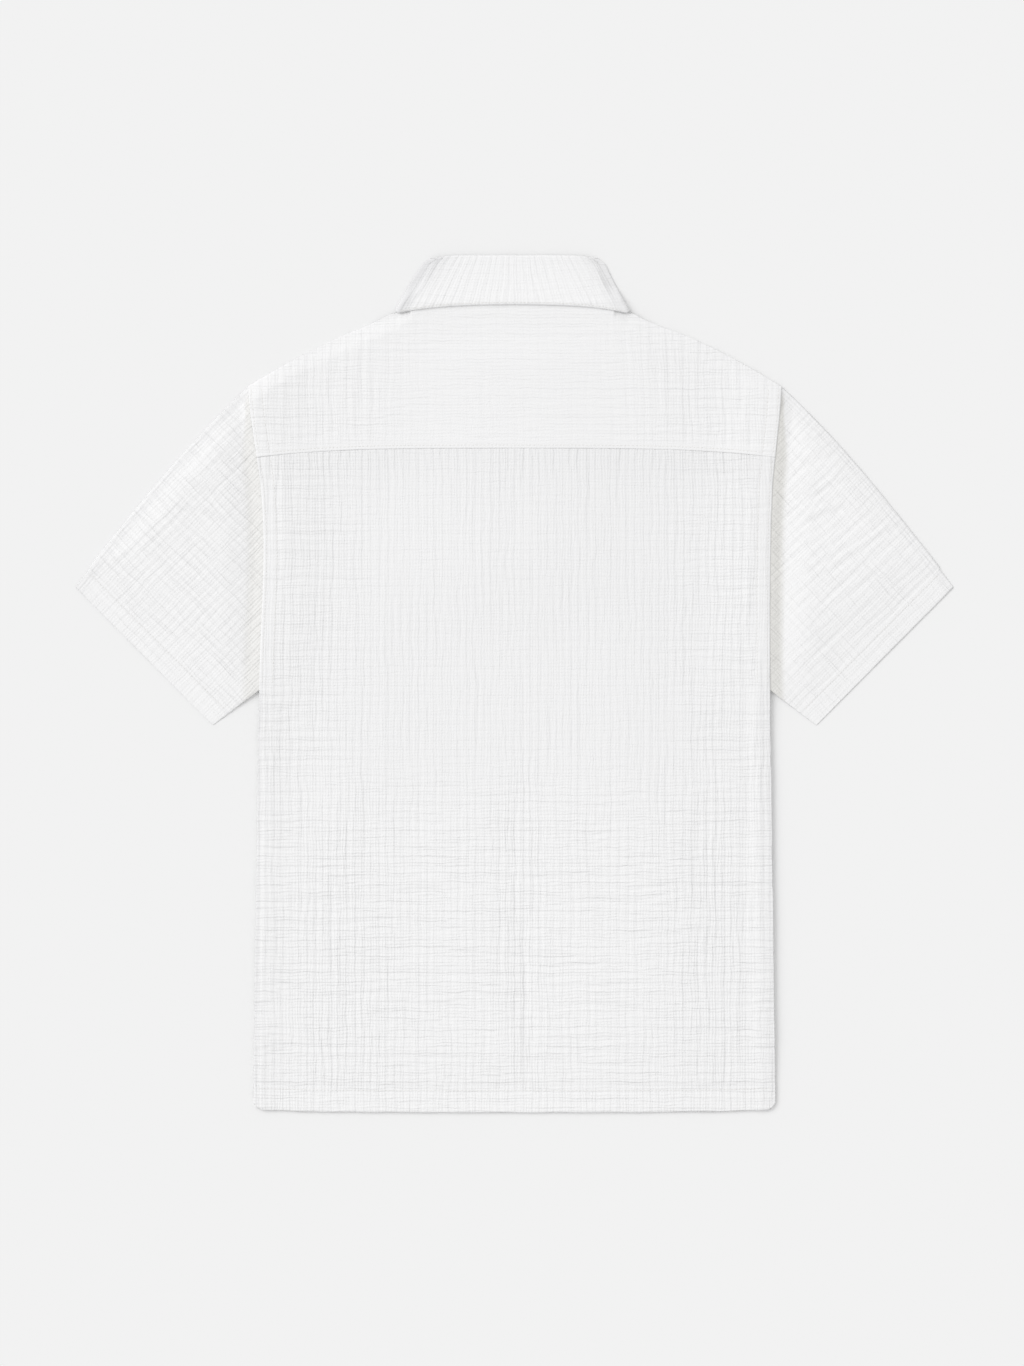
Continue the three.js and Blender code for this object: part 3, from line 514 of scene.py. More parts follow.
def hollows(relief):
    """How deep each place of a grid lies in a crease: how far it is below the mean of the places around it,
    from 0 to 1 at a third of a millimetre."""
    reach = 3
    rows, columns = relief.shape
    wide = np.pad(relief, reach, mode="edge")
    shifts = [(i, j) for i in (0, reach, 2 * reach) for j in (0, reach, 2 * reach)]
    around = sum(wide[i:i + rows, j:j + columns] for i, j in shifts) / len(shifts)
    return np.clip((around - relief) / 0.33, 0, 1)


def cloth_wall(name, outer, inner, outer_uv, inner_uv, relief, marks, wrap=False):
    """A closed wall between an outer grid of points and a coarser inner one.

    Strips of triangles close the rim, or the two ends of a tube that wraps round. Marks are the outer grid's:
    upright and level, the strengths of fine creases along the cloth's two ways, which the material bumps and
    darkens with painted shade; shade, where painted shade makes it darker and warmer; and grey, where painted
    shade and some even grey make it only darker. A crease mark of painted shade in the relief's hollows is
    added."""
    rows, columns = outer.shape[:2]
    out = np.arange(rows * columns).reshape(rows, columns)
    inn = out.size + np.arange(inner.shape[0] * inner.shape[1]).reshape(inner.shape[:2])
    if wrap:
        fine, coarse = (np.concatenate([g, g[:, :1]], axis=1) for g in (out, inn))
        rims = [(fine[0], coarse[0]), (fine[-1][::-1], coarse[-1][::-1])]
    else:
        rims = zip(sides_of(out), sides_of(inn))
    triangles = np.concatenate([strip(fine, coarse) for fine, coarse in rims])
    quads = np.concatenate([grid_quads(out, wrap), grid_quads(inn, wrap)[:, ::-1]])
    points = np.concatenate([outer.reshape(-1, 3), inner.reshape(-1, 3)])
    uv = np.concatenate([outer_uv.reshape(-1, 2), inner_uv.reshape(-1, 2)])
    plain = {"upright": 0.6, "level": 0.4, "shade": 0, "grey": 0, "crease": 0}
    # crease marks painted shade in the hollows of the outer face's relief
    values = {**plain, **marks, "crease": hollows(relief)}
    for mark, inside in plain.items():
        shown = np.broadcast_to(values[mark], (rows, columns)).ravel()
        values[mark] = np.concatenate([shown, np.full(inn.size, inside)])
    return make_mesh(name, points, triangles, quads, uv, values)


def sides_of(index):
    """The four sides of a grid of vertex numbers, going round it."""
    return [index[0], index[:, -1], index[-1][::-1], index[::-1, 0]]


def panel(name, across, heights, spot, top, under, marks):
    """A flat panel: spot maps the grid to places, and top, under and marks give its values there."""
    def face(a, h, height_of):
        """Points of a face and their places in plan."""
        x, y = spot(*np.meshgrid(a, h))
        return np.stack([x, y, height_of(x, y)], axis=-1), np.stack([x, y], axis=-1)

    outer, outer_uv = face(across, heights, top)
    inner, inner_uv = face(across[::COARSE], heights[::COARSE], under)
    relief = outer[..., 2] * (1 if outer[..., 2].mean() > inner[..., 2].mean() else -1)
    return cloth_wall(name, outer, inner, outer_uv, inner_uv, relief, marks(*np.moveaxis(outer_uv, -1, 0)))


def wavering(height, side, much):
    """How far an edge wavers from its line, from noise along it."""
    return much * noise(height / 27, side * 3.7, 131) + 0.5 * much * noise(height / 8, side * 3.7, 132)


# Body pieces

def back_marks(x, height):
    """Fine uprights all over and strongest under the yoke, fine level creases at the sides and lower down,
    and
    grey: painted shade along the side seams, in the armhole seams' stitched grooves, in the hem's grooves and
    under the yoke, and a little even grey, more towards the right, outside the hem band and higher up the
    middle."""
    away, into, below = from_side(x, height), height - hem_line(x), yoke_seam(x) - height
    side = smooth(110, 200, np.abs(x))
    low = 1 - smooth(220, 345, height)
    band = 1 - smooth(HEM["band"] - 1, HEM["band"] + 1, into)
    felled = felled_seam(x, height, 11)
    columns = hill(x + 152, 46) + hill(x - 6, 24) + hill(x - 178, 34)
    top = hill(YOKE_SEAM["height"] - height, 24)
    upright = mix(0.92 + 0.35 * side + 0.4 * top, 0.88 + 0.8 * columns, low)
    upright = mix(upright, 1.1 + 0.5 * smooth(150, 215, np.abs(x)), band)
    level = mix(0.34 + 0.7 * np.maximum(0.6 * side, low), 0.95, band)
    free = 1 - armhole_zone(height)
    # painted shade along the side seams below the armholes, in the felled seam's stitched groove and the
    # hem's grooves
    grey = free * (0.22 * hill(away - 2, 1.6) + 0.16 * hill(away - 8.5, 1.6))
    grey = grey + 0.2 * hill(away - LIP["stitch"], 0.9) * (1 - free)
    grey = grey + 0.14 * hill(into - HEM["stitch"], 1.1) + 0.10 * hill(into - HEM["tuck"], 1.3)
    # darker towards the right and outside the hem band, painted shade under the yoke, and darker higher up
    # the middle
    grey = grey + 0.05 * smooth(40, 180, x) + 0.03 * (1 - band) + 0.07 * hill(below, 30)
    grey = grey + 0.11 * (1 - low) * (1 - 0.6 * side) * (1 - band)
    return {"upright": upright * (1 - 0.3 * felled), "level": mix(level, 0.35, felled), "grey": grey}


def yoke_marks(x, height):
    """Few fine creases in the middle, more towards the ends, and none in a strip along the seam."""
    ends = smooth(70, 160, np.abs(x))
    calm = 0.35 + 0.65 * smooth(2, 12, height - yoke_seam(x))
    felled = felled_seam(x, height, 11)
    return {"upright": (0.25 + 0.7 * ends) * calm * (1 - 0.5 * felled),
            "level": mix((0.5 + 0.25 * ends) * calm, 0.6, felled), "grey": 0.10}


def build_back():
    """The back panel: columns follow the side lines, and rows run from the hem to the yoke seam."""
    def spot(a, h):
        """The place at a share of the half width and at a height of the straight grid."""
        share = h / YOKE_SEAM["height"]
        base = mix(HEM["rise"] + HEM["corner"], YOKE_SEAM["height"] - YOKE_SEAM["drop"], share)
        waver = wavering(base, np.sign(a), 0.3) * (1 - armhole_zone(base))
        x = a * (half_width(base) + waver * smooth(0.9, 1, np.abs(a)))
        return x, mix(hem_line(x) + 0.3 * noise(x / 16, 0, 133), yoke_seam(x) + SEAM_GAP, share)

    across = runs((-1, -0.94, 18), (-0.94, 0.94, 252), (0.94, 1, 18))
    heights = runs((0, 26, 20), (26, 575, 276), (575, YOKE_SEAM["height"], 16))
    return panel("back_cloth", across, heights, spot, back_top_face, back_under_face, back_marks)


def build_yoke():
    """The yoke: columns follow the armholes, and rows run from its seam to the neck and shoulders."""
    def spot(a, v):
        """The place at a share of the half width and a share of the way up."""
        base = mix(YOKE_SEAM["height"] - YOKE_SEAM["drop"], SHOULDER["height"], v)
        x = a * half_width(base)
        top = back_top(x) + 0.3 * noise(x / 8, 0, 134) * (np.abs(x) > 112)
        return x, mix(yoke_seam(x) + SEAM_GAP / 2, top, v)

    across = runs((-1, -0.94, 18), (-0.94, 0.94, 364), (0.94, 1, 18))
    shares = runs((0, 0.1, 14), (0.1, 0.93, 84), (0.93, 1, 14))
    return panel("yoke_cloth", across, shares, spot, yoke_top_face, back_under_face, yoke_marks)


def front_under_face(x, height):
    """Underside of the front with its crinkle, which only rises from the plane, and the hem's groove."""
    level = furrows(x, height, 10.5, 141, 0.6) * 0.45
    upright = furrows(height, x, 8.6, 151, 0.5) * 0.38
    into = height - hem_line(x)
    groove = 0.35 * hill(into - HEM["band"], 1.4)
    edge = round_off((np.minimum(np.minimum(from_side(x, height), from_shoulder(x, height)), into) + 0.5) / 6)
    rise = np.maximum(0, 0.1 - level - upright) * edge + groove
    return (front_under(x, height) + rise * (1 - 0.6 * under_leaf(x, height))) * pressed(x, height)


def front_top_face(x, height):
    """Top of the front, inside the shirt, without crinkle."""
    return (front_under(x, height) + CLOTH) * pressed(x, height)


def build_front():
    """The front panel, with a slit cut in it for the placket."""
    def spot(a, v):
        """The place at a distance from the centre line at the shoulders and a share of the way up."""
        share = 1 - (1 - v) ** 1.15
        base = mix(HEM["rise"] + HEM["corner"], SHOULDER["height"], share)
        x = a / SHOULDER["half"] * (half_width(base) - 1.0)
        return x, mix(hem_line(x) + 0.8, front_top(x), share)

    # The columns lie closer together at the sides of the neck. Two are left out at the right, as their number
    # is one more than a multiple of four.
    neck = NECK_SIDE["half"] * np.sin(np.linspace(0, np.pi / 2, 45))
    right = np.append(neck, np.linspace(NECK_SIDE["half"], SHOULDER["half"], 76)[1:])
    across = np.concatenate([-right[:0:-1], right[:-3], right[-1:]])
    shares = runs((0, 0.04, 12), (0.04, 1, 236))
    front = panel("front_cloth", across, shares, spot, front_under_face, front_top_face, back_marks)
    slit = solid_box("slit", PLACKET["half"] + SEAM_GAP, PLACKET["low"] - SEAM_GAP, LENGTH, -5, 12)
    cut = front.modifiers.new("slit", "BOOLEAN")
    cut.object, cut.operation, cut.solver = slit, "DIFFERENCE", "EXACT"
    apply_modifiers(front)
    bpy.data.objects.remove(slit)
    return front


def solid_box(name, half, low, high, bottom, top):
    """A plain box between two heights, to cut with."""
    x, y, z = np.meshgrid([-half, half], [low, high], [bottom, top], indexing="ij")
    points = np.stack([x.ravel(), y.ravel(), z.ravel()], axis=-1)
    quads = np.array([[0, 1, 3, 2], [4, 6, 7, 5], [0, 4, 5, 1], [2, 3, 7, 6], [0, 2, 6, 4], [1, 5, 7, 3]])
    return make_mesh(name, points, NO_TRIANGLES, quads)


def apply_modifiers(piece):
    """Gives the piece its mesh as its modifiers leave it."""
    evaluated = piece.evaluated_get(bpy.context.evaluated_depsgraph_get())
    mesh = bpy.data.meshes.new_from_object(evaluated)
    piece.modifiers.clear()
    piece.data = mesh


# Sleeves

CUFF_WAY = (CUFF_TOP - CUFF_END) / np.hypot(*(CUFF_TOP - CUFF_END))
SLEEVE_AXIS = np.array([-CUFF_WAY[1], CUFF_WAY[0]])  # from the cuff towards the body


def sleeve_spot(across, along):
    """A place on the sleeve, across from 0 at the underarm edge to 1 at the top, and along from 0 at the
    armhole to 1 at the cuff."""
    arm_height = mix(UNDERARM, SHOULDER["height"], across)
    arm_x = half_width(arm_height) - 0.45
    cuff = CUFF_END + (CUFF_TOP - CUFF_END) * np.asarray(across)[..., None]
    bow = SLEEVE["bulge"] * np.sin(np.pi * along**0.8) * smooth(0.35, 1, across)
    notch = smooth(SLEEVE_NOTCH["from"], SLEEVE_NOTCH["to"], along) * smooth(0.9, 1, across)
    bow = bow - SLEEVE_NOTCH["deep"] * notch
    waver = 0.5 * noise(along * 18, across * 2.2, 161) * along * (1 - along)
    x = mix(arm_x, cuff[..., 0], along) + bow * 0.75 + waver
    y = mix(arm_height, cuff[..., 1], along) + bow * 0.66 + waver
    return x, y


def cuff_places(x, y):
    """Distance of a place from the cuff's edge, and its place along the cuff."""
    dx, dy = x - CUFF_END[0], y - CUFF_END[1]
    return dx * SLEEVE_AXIS[0] + dy * SLEEVE_AXIS[1], dx * CUFF_WAY[0] + dy * CUFF_WAY[1]


def from_armhole(x, y):
    """Distance of a place on the sleeve from the armhole."""
    return x - half_width(np.minimum(y, SHOULDER["height"]))


def sleeve_upper(across, x, y):
    """Top of the upper layer without its crinkle: it drops from the armhole seam into a valley beside it."""
    away = from_armhole(x, y)
    valley = mix(SLEEVE["underarm"], SLEEVE["valley"], smooth(0.02, 0.14, across))
    rise = mix(valley, SLEEVE["height"], smooth(1, SLEEVE["valley_wide"], away))
    return rise + (SLEEVE["seam"] - valley) * (1 - smooth(-0.6, 12, away))


SLEEVE_CREASES = [  # in a sleeve's own places: from the cuff (d) and from the underarm end of the cuff (w)
    {"d0": 24, "w0": 168, "d1": 23, "w1": 6, "wide": 1.8, "deep": -0.5},
    {"d0": 31, "w0": 150, "d1": 34, "w1": 60, "wide": 2.0, "deep": -0.34},
    {"d0": 42, "w0": 128, "d1": 46, "w1": 40, "wide": 2.2, "deep": -0.42},
    {"d0": 55, "w0": 176, "d1": 62, "w1": 92, "wide": 2.2, "deep": -0.34},
    {"d0": 66, "w0": 182, "d1": 76, "w1": 84, "wide": 2.4, "deep": -0.5},
    {"d0": 75, "w0": 184, "d1": 88, "w1": 106, "wide": 2.4, "deep": -0.5},
    {"d0": 84, "w0": 180, "d1": 97, "w1": 118, "wide": 2.2, "deep": -0.36},
    {"d0": 80, "w0": 184, "d1": 92, "w1": 120, "wide": 1.8, "deep": 0.3},
    {"d0": 118, "w0": 160, "d1": 136, "w1": 118, "wide": 2.4, "deep": -0.44},
    {"d0": 126, "w0": 158, "d1": 142, "w1": 124, "wide": 2.0, "deep": 0.34},
    {"d0": 136, "w0": 178, "d1": 152, "w1": 138, "wide": 2.4, "deep": -0.46},
    {"d0": 160, "w0": 186, "d1": 172, "w1": 158, "wide": 2.4, "deep": -0.46},
    {"d0": 176, "w0": 192, "d1": 186, "w1": 172, "wide": 2.2, "deep": -0.4},
]


def sleeve_crinkle(x, y, away_top, look):
    """Creases along the cuff that turn a little away from it towards the armhole, finer ones across them, and
    two long creases inside the top edge."""
    deep, wide = cuff_places(x, y)
    seed, much = look["seed"], look["creased"]
    by_hand = [{"x0": row["d0"], "y0": row["w0"], "x1": row["d1"], "y1": row["w1"],
                "wide": 1.3 * row["wide"], "deep": row["deep"]} for row in SLEEVE_CREASES]
    folded = creased(deep, wide, by_hand)
    turned = deep - SLEEVE["turn"] * np.clip(185 - wide, 0, 200) ** 2 * smooth(20, 120, deep)
    beside = hill(from_armhole(x, y), 22)
    main = furrows(wide, turned, 8.6, seed, 0.6, 50) * 0.34 * (1 - 0.5 * beside)
    cross = furrows(deep, wide, 7.0, seed + 10, 0.3, 40) * (0.30 + 0.10 * beside)
    hem = 1 - smooth(SLEEVE["hem"] - 0.8, SLEEVE["hem"] + 0.8, deep)
    band = HEM["doubled"] * hem - 0.45 * hill(deep - SLEEVE["hem"] + SLEEVE["stitch_in"], 1.0)
    band = band + 0.18 * hem * furrows(deep, wide, 4.8, seed + 30)
    long = -0.35 * hill(away_top - 4.0, 1.0) - 0.35 * hill(away_top - 7.5, 1.2)
    long = long * smooth(0.02, 0.2, deep / 200)
    swell = 0.18 * noise(wide / 45, deep / 60, seed + 40)
    return (much * main + cross) * (1 - 0.55 * hem) + band + long + swell + much * folded


def sleeve_face(across, along, upper, thick, look):
    """Points of the sleeve's upper or lower layer, on its outside or, thick further in, on its inside.

    With them come their places by the cuff, and three marks: the trough beside the armhole, where painted
    shade goes, the hem, and lines of painted shade inside the top edge and in the groove of the hem's
    stitches."""
    x, y = sleeve_spot(across, along)
    x0, y0 = sleeve_spot(np.zeros_like(across), along)
    x1, y1 = sleeve_spot(np.ones_like(across), along)
    wide = np.hypot(x1 - x0, y1 - y0)
    pull = thick * (1 - 2 * across) / wide
    x, y = x + pull * (x1 - x0), y + pull * (y1 - y0)
    places = cuff_places(x, y)
    deep, away_arm = places[0], from_armhole(x, y)
    low_edge = mix(SLEEVE_EDGE["underarm"], SLEEVE_EDGE["cuff"], along)
    edge = np.where(across < 0.5, low_edge, SLEEVE_EDGE["top"])
    away, away_top = wide * np.minimum(across, 1 - across), wide * (1 - across)
    around = round_off(away / (SLEEVE["round"] - thick))
    rest = np.where(across < 0.5, (edge - 1.5) * (1 - smooth(0, SLEEVE_EDGE["lift"], away)), 0)
    if upper:
        height = np.maximum(edge, sleeve_upper(across, x, y)) - thick
        z = mix(edge, height, around)
        if thick:
            z = np.maximum(z, rest + thick + SEAM_GAP / 2)
        else:
            calm = round_off((away + 0.3) / 8) * smooth(-0.5, 5, away_arm)
            z = z + sleeve_crinkle(x, y, away_top, look) * calm
    else:
        ripple = 0
        if not thick:
            ripple = np.maximum(0, 0.1 - furrows(places[1], deep, 9.5, look["seed"] + 50, 0.6) * 0.45)
        z = mix(edge, rest + thick + ripple * round_off(away / 8), around)
    flat = mix(PRESS["sleeve"], 1, smooth(-4, PRESS["sleeve_wide"], away_top))
    flat = np.minimum(flat, mix(PRESS["cuff"], 1, smooth(-6, PRESS["cuff_wide"], deep)))
    # the trough beside the armhole, where painted shade darkens and warms the cloth
    narrow = (1 - 0.7 * smooth(0.76, 0.95, across)) * look["narrow"]
    trough = (1 - smooth(9 * narrow, 19 * narrow, away_arm)) * (1 - smooth(0.95, 0.995, across))
    hem = 1 - smooth(SLEEVE["hem"] - 1, SLEEVE["hem"] + 1, deep)
    # painted shade: lines along the top edge and its two grooves, and in the groove of the hem's stitches
    grey = 0.36 * hill(away_top - 1.0, 1.0) + 0.36 * hill(away_top - 4.4, 1.1)
    grey = grey + 0.3 * hill(away_top - 8.2, 1.1)
    grey = grey + 0.24 * hill(deep - SLEEVE["hem"] + SLEEVE["stitch_in"], 0.9)
    marks = np.stack([trough, hem, grey], axis=-1) * upper
    return np.stack([x, y, z * flat], axis=-1), np.stack(places, axis=-1), marks


def build_sleeve(name, side):
    """A tube: the upper layer from the underarm edge to the top edge, then the lower layer back."""
    look = SLEEVE_SIDES[side]
    steps_up, steps_down = 244, 60

    def ring(every, rows, thick):
        """Points, places and marks all round, of every few steps. Steps are shorter near the two edges."""
        up = np.linspace(0, 1, steps_up // every, endpoint=False)
        down = np.linspace(1, 0, steps_down // every, endpoint=False)
        faces = []
        for s, upper in ((up, True), (down, False)):
            across = mix(s, 0.5 - 0.5 * np.cos(np.pi * s), 0.55)
            faces.append(sleeve_face(*np.meshgrid(across, rows), upper, thick, look))
        return [np.concatenate(parts, axis=1) for parts in zip(*faces)]

    rows = np.linspace(0, 1, 161)
    outer, outer_uv, places = ring(1, rows, 0)
    trough, hem, grey = np.moveaxis(places, -1, 0)
    inner, inner_uv, _ = ring(COARSE, rows[::COARSE], THIN_CLOTH)
    for points in (outer, inner):
        points[..., 0] *= side
    relief = outer[..., 2] * np.where(np.arange(outer.shape[1]) < steps_up, 1, -1)
    # shade and grey are painted shade: in the trough beside the armhole, and on the lines inside the top edge
    marks = {"upright": look["upright"] * (1 - 0.3 * hem), "level": look["level"] + 0.4 * trough - 0.08 * hem,
             "shade": look["shade"] * trough, "grey": look["grey"] * grey}
    return cloth_wall(name, outer, inner, outer_uv, inner_uv, relief, marks, wrap=True)


# Collar

FOLD_ALONG = (FOLD_END - FOLD_TOP) / np.hypot(*(FOLD_END - FOLD_TOP))
FOLD_WAY = np.array([-FOLD_ALONG[1], FOLD_ALONG[0]])  # outwards in plan, away from the neck


def bend(a, b, c, t):
    """A quadratic curve from a to c, pulled towards b."""
    t = t[:, None]
    return (1 - t) ** 2 * a + 2 * t * (1 - t) * b + t**2 * c


def line(a, b, t):
    """Places on the straight line from a to b."""
    return a + (b - a) * t[:, None]


def fall_rulings(zone, t):
    """Ends of the collar fall's rulings: from its roll line to its outer edge."""
    top, end = FOLD_TOP - FOLD_WAY * COLLAR_CENTRE, FOLD_END - FOLD_WAY * COLLAR_CENTRE
    if zone == "front":
        return bend(FRONT_TOP, ROLL_PULL, top, t), line(POINT, end, t)
    if zone == "fold":
        return line(top, top, t), line(end, end, t)
    spread = 1 - 2 * t
    a = np.stack([top[0] * spread, mix(FOLD_TOP[1], top[1], np.abs(spread) ** 8)], axis=-1)
    x = end[0] * spread
    edge = FALL["edge_height"] - FALL["edge_drop"] * (x / FOLD_END[0]) ** 2
    return a, np.stack([x, mix(edge, end[1], np.abs(spread) ** 8)], axis=-1)


def stand_rulings(zone, t):
    """Ends of the collar stand's rulings: from the neckline to just below the collar's roll line."""
    gap = STAND["gap"]
    top = FOLD_TOP - FOLD_WAY * COLLAR_CENTRE + FOLD_ALONG * gap
    foot = np.array([NECK_SIDE["half"] - 2.5, NECK_SIDE["height"] + SEAM_GAP])
    if zone == "front":
        x = mix(FRONT_TOP[0], foot[0], np.sin(np.pi / 2 * t))
        share = (x - FRONT_TOP[0]) / (foot[0] - FRONT_TOP[0])
        y = foot[1] - (foot[1] - FRONT_NECK - 2 * SEAM_GAP) * np.sqrt(1 - share**2)
        low, pull = FRONT_TOP - [0, gap], ROLL_PULL + [gap, -gap]
        return np.stack([x, y], axis=-1), bend(low, pull, top, t)
    if zone == "fold":
        return line(foot, foot, t), line(top, top, t)
    spread = 1 - 2 * t
    x = foot[0] * spread
    upper = mix(LENGTH - gap, top[1], np.abs(spread) ** 4)
    neck = back_neck(x) + 2 * SEAM_GAP
    return np.stack([x, neck], axis=-1), np.stack([top[0] * spread, upper], axis=-1)


def collar_ring(rulings, steps):
    """Ends and turns of the rulings all round: front, fold, back, fold and front.

    A turn is 0 in front and pi behind, and side is 1 at the right of the middle and -1 at its left."""
    front, fold, back = steps
    zones = [("front", np.linspace(0, 1, front, endpoint=False)),
             ("fold", np.linspace(0, 1, fold, endpoint=False)),
             ("back", np.linspace(0, 1, back + 1))]
    a, b, turn = [], [], []
    for zone, t in zones:
        starts, ends = rulings(zone, t)
        a.append(starts)
        b.append(ends)
        turn.append({"front": 0 * t, "fold": np.pi * t, "back": np.pi + 0 * t}[zone])
    mirrored = [(a[k][::-1] * [-1, 1], b[k][::-1] * [-1, 1], turn[k][::-1]) for k in (1, 0)]
    right = front + fold + back // 2
    side = np.concatenate([np.ones(right), -np.ones(2 * (front + fold) + back + 1 - right)])
    a, b, turn = (np.concatenate(part + [m[k] for m in mirrored]) for k, part in enumerate((a, b, turn)))
    return a, b, turn, side


def collar_face(ring, shares, offset, bulge):
    """Points at shares of each ruling, moved off the collar's middle plane and round its folds by an offset.

    The fold at each side bulges in plan, and its upper end is pulled down, which rounds the corner."""
    a, b, turn, side = ring
    spots = a[None] + (b - a)[None] * shares[:, None, None]
    near = np.sin(turn) ** 2 + (1 - np.sin(turn) ** 2) * hill(from_fold(ring), COLLAR_BULGE["reach"])
    out_by = bulge * COLLAR_BULGE["out"] * (smooth(0, 0.15, shares) - 0.87 * smooth(0.4, 1, shares))
    down_by = bulge * COLLAR_BULGE["corner"] * (1 - shares)
    for by, way in ((out_by[:, None] * near, FOLD_WAY), (down_by[:, None] * np.sin(turn), FOLD_ALONG)):
        spots = spots + by[..., None] * np.stack([way[0] * side, np.full(side.shape, way[1])], axis=-1)
    out = np.stack([FOLD_WAY[0] * np.sin(turn) * side, FOLD_WAY[1] * np.sin(turn), -np.cos(turn)], axis=-1)
    points = np.concatenate([spots, np.full(spots.shape[:2] + (1,), COLLAR_CENTRE)], axis=-1)
    points = points + out[None] * offset[..., None]
    points[..., 2] *= collar_pressed(points[..., 0], points[..., 1])
    return points


def settled(points):
    """Moves all layers a little in plan, as the shirt settled: the right end of the collar towards the neck,
    and both armholes to the right, each by a bell over the height."""
    x, y = points[..., 0], points[..., 1]
    low, top = smooth(DRAWN_IN["from"], DRAWN_IN["low"], y), 1 - smooth(DRAWN_IN["high"], DRAWN_IN["to"], y)
    side = smooth(60, 100, x) * (1 - smooth(112, 170, x))
    moved = points.copy()
    moved[..., 0] -= DRAWN_IN["by"] * low * top * side
    between = smooth(110, 200, np.abs(x)) * (1 - smooth(240, 340, np.abs(x)))
    moved[..., 0] += LEAN["by"] * hill(y - LEAN["at"], LEAN["wide"]) * between
    return moved


def collar_pressed(x, y):
    """How flat the collar is pressed: most at its roll line and side folds, and 1 at its shown edge."""
    top = mix(PRESS["roll"], 1, np.clip((LENGTH - y) / PRESS["collar"], 0, 1) ** 1.5)
    inside = outside(FOLD_TOP, FOLD_END, np.abs(x), y)
    fold = mix(PRESS["fold"], 1, smooth(0, PRESS["wide"], inside))
    return np.minimum(top, mix(1, fold, smooth(*PRESS["fold_heights"], y)))


def from_fold(ring):
    """Distance of each ruling from the collar's nearer side fold, 0 within it."""
    a, b, turn, side = ring
    around = lengths((a + b) / 2)
    folds = [np.flatnonzero((turn > 0) & (turn < np.pi) & (side == s)) for s in (1, -1)]
    away = [np.maximum(0, np.maximum(around[f[0]] - around, around - around[f[-1]])) for f in folds]
    return np.minimum(*away)


def build_collar(name, rulings, steps, shares, offsets, bulge):
    """A collar piece from its ring of rulings.

    Offsets gives the distances of its outer and inner faces from the middle plane at each point. Where it
    bulges, painted shade darkens it along its side folds, the left one more, over a little even grey."""
    ring = collar_ring(rulings, steps)
    a, b, turn, _ = ring
    away = from_fold(ring)[None]
    reach = np.hypot(*(b - a).T)
    around, from_roll = np.broadcast_arrays(lengths((a + b) / 2)[None], shares[:, None] * reach[None])
    outer_off, inner_off = offsets(around, from_roll, reach[None] - from_roll, turn[None], away)
    outer = collar_face(ring, shares, outer_off, bulge)
    inner = collar_face(ring, shares, inner_off, bulge)[::COARSE, ::COARSE]
    uv = np.stack([around, from_roll], axis=-1)
    ends = hill(away, mix(15, 7, shares)[:, None]) * np.ones_like(around)
    # painted shade along the side folds, more on the left, over a little even grey
    grey = (0.08 + ends * np.where(outer[..., 0] < 0, 0.62, 0.22)) * bulge
    marks = {"upright": 0.95 + 0.8 * ends, "level": 0.45, "grey": grey}
    return cloth_wall(name, outer, inner, uv, uv[::COARSE, ::COARSE], outer_off, marks)


def fall_offsets(around, from_roll, from_edge, turn, away):
    """The fall's faces: round over the roll and at the outer edge, and lower beside the side folds.

    Uprights fan out at the ends, and level creases run along the middle."""
    radius = COLLAR_CENTRE - FALL["thick"] / 2
    back = smooth(2.6, 3.1, turn)
    ends = 1 - smooth(18, 60, away)
    upright = furrows(from_roll, around, 6.6, 171, 0.6, 30) * (0.2 + 0.3 * ends)
    level = furrows(around, from_roll, 7.4, 181, 0.6, 40) * 0.20 * (1 - 0.5 * ends)
    shape = upright + level + 0.16 * noise(around / 30, from_roll / 26, 191)
    calm = round_off((from_edge + 0.4) / 4) * round_off((from_roll + 0.5) / 8)
    groove = -0.26 * hill(from_edge - FALL["stitch"], 0.7)
    rounded = (1 - round_off((from_roll + 0.15) / FALL["roll"])) * FALL["roll_low"] * back
    rounded = rounded + (1 - round_off((from_edge + 0.25) / FALL["edge_round"])) * FALL["edge_low"]
    droop = FALL["droop"] * np.clip(-np.cos(turn), 0, 1) * (1 - smooth(0, FALL["droop_wide"], away))
    shown = np.where(turn > 0.3, 1.0, 0.35)
    outer = radius + FALL["thick"] / 2 + (shape * calm * shown + groove) * 0.8 - rounded - droop
    outer = np.where(turn < 1.2, np.minimum(outer, COLLAR_CENTRE), outer)
    lip = FALL["lip"] * (1 - smooth(0, 2.4, from_roll))
    return outer, radius - FALL["thick"] / 2 - lip + 0 * from_edge


def stand_offsets(around, from_roll, from_edge, turn, away):
    """The stand's faces, nearly plain."""
    radius = STAND["thick"] / 2 + SEAM_GAP / 2
    fine = furrows(from_roll, around, 7.0, 201, 0.5) * 0.12
    outer = radius + STAND["thick"] / 2 - 0.15 + fine * (turn < 0.1)
    return outer, np.full(outer.shape, radius - STAND["thick"] / 2)


def build_collar_fall():
    """The turned-down part of the collar."""
    shares = runs((0, 0.08, 8), (0.08, 0.92, 44), (0.92, 1, 8))
    return build_collar("collar_fall_cloth", fall_rulings, COLLAR_STEPS, shares, fall_offsets, 1)


def build_collar_stand():
    """The low stand inside the fall."""
    shares = np.linspace(0, 1, 17)
    return build_collar("collar_stand_cloth", stand_rulings, (28, 8, 56), shares, stand_offsets, 0)


# Placket

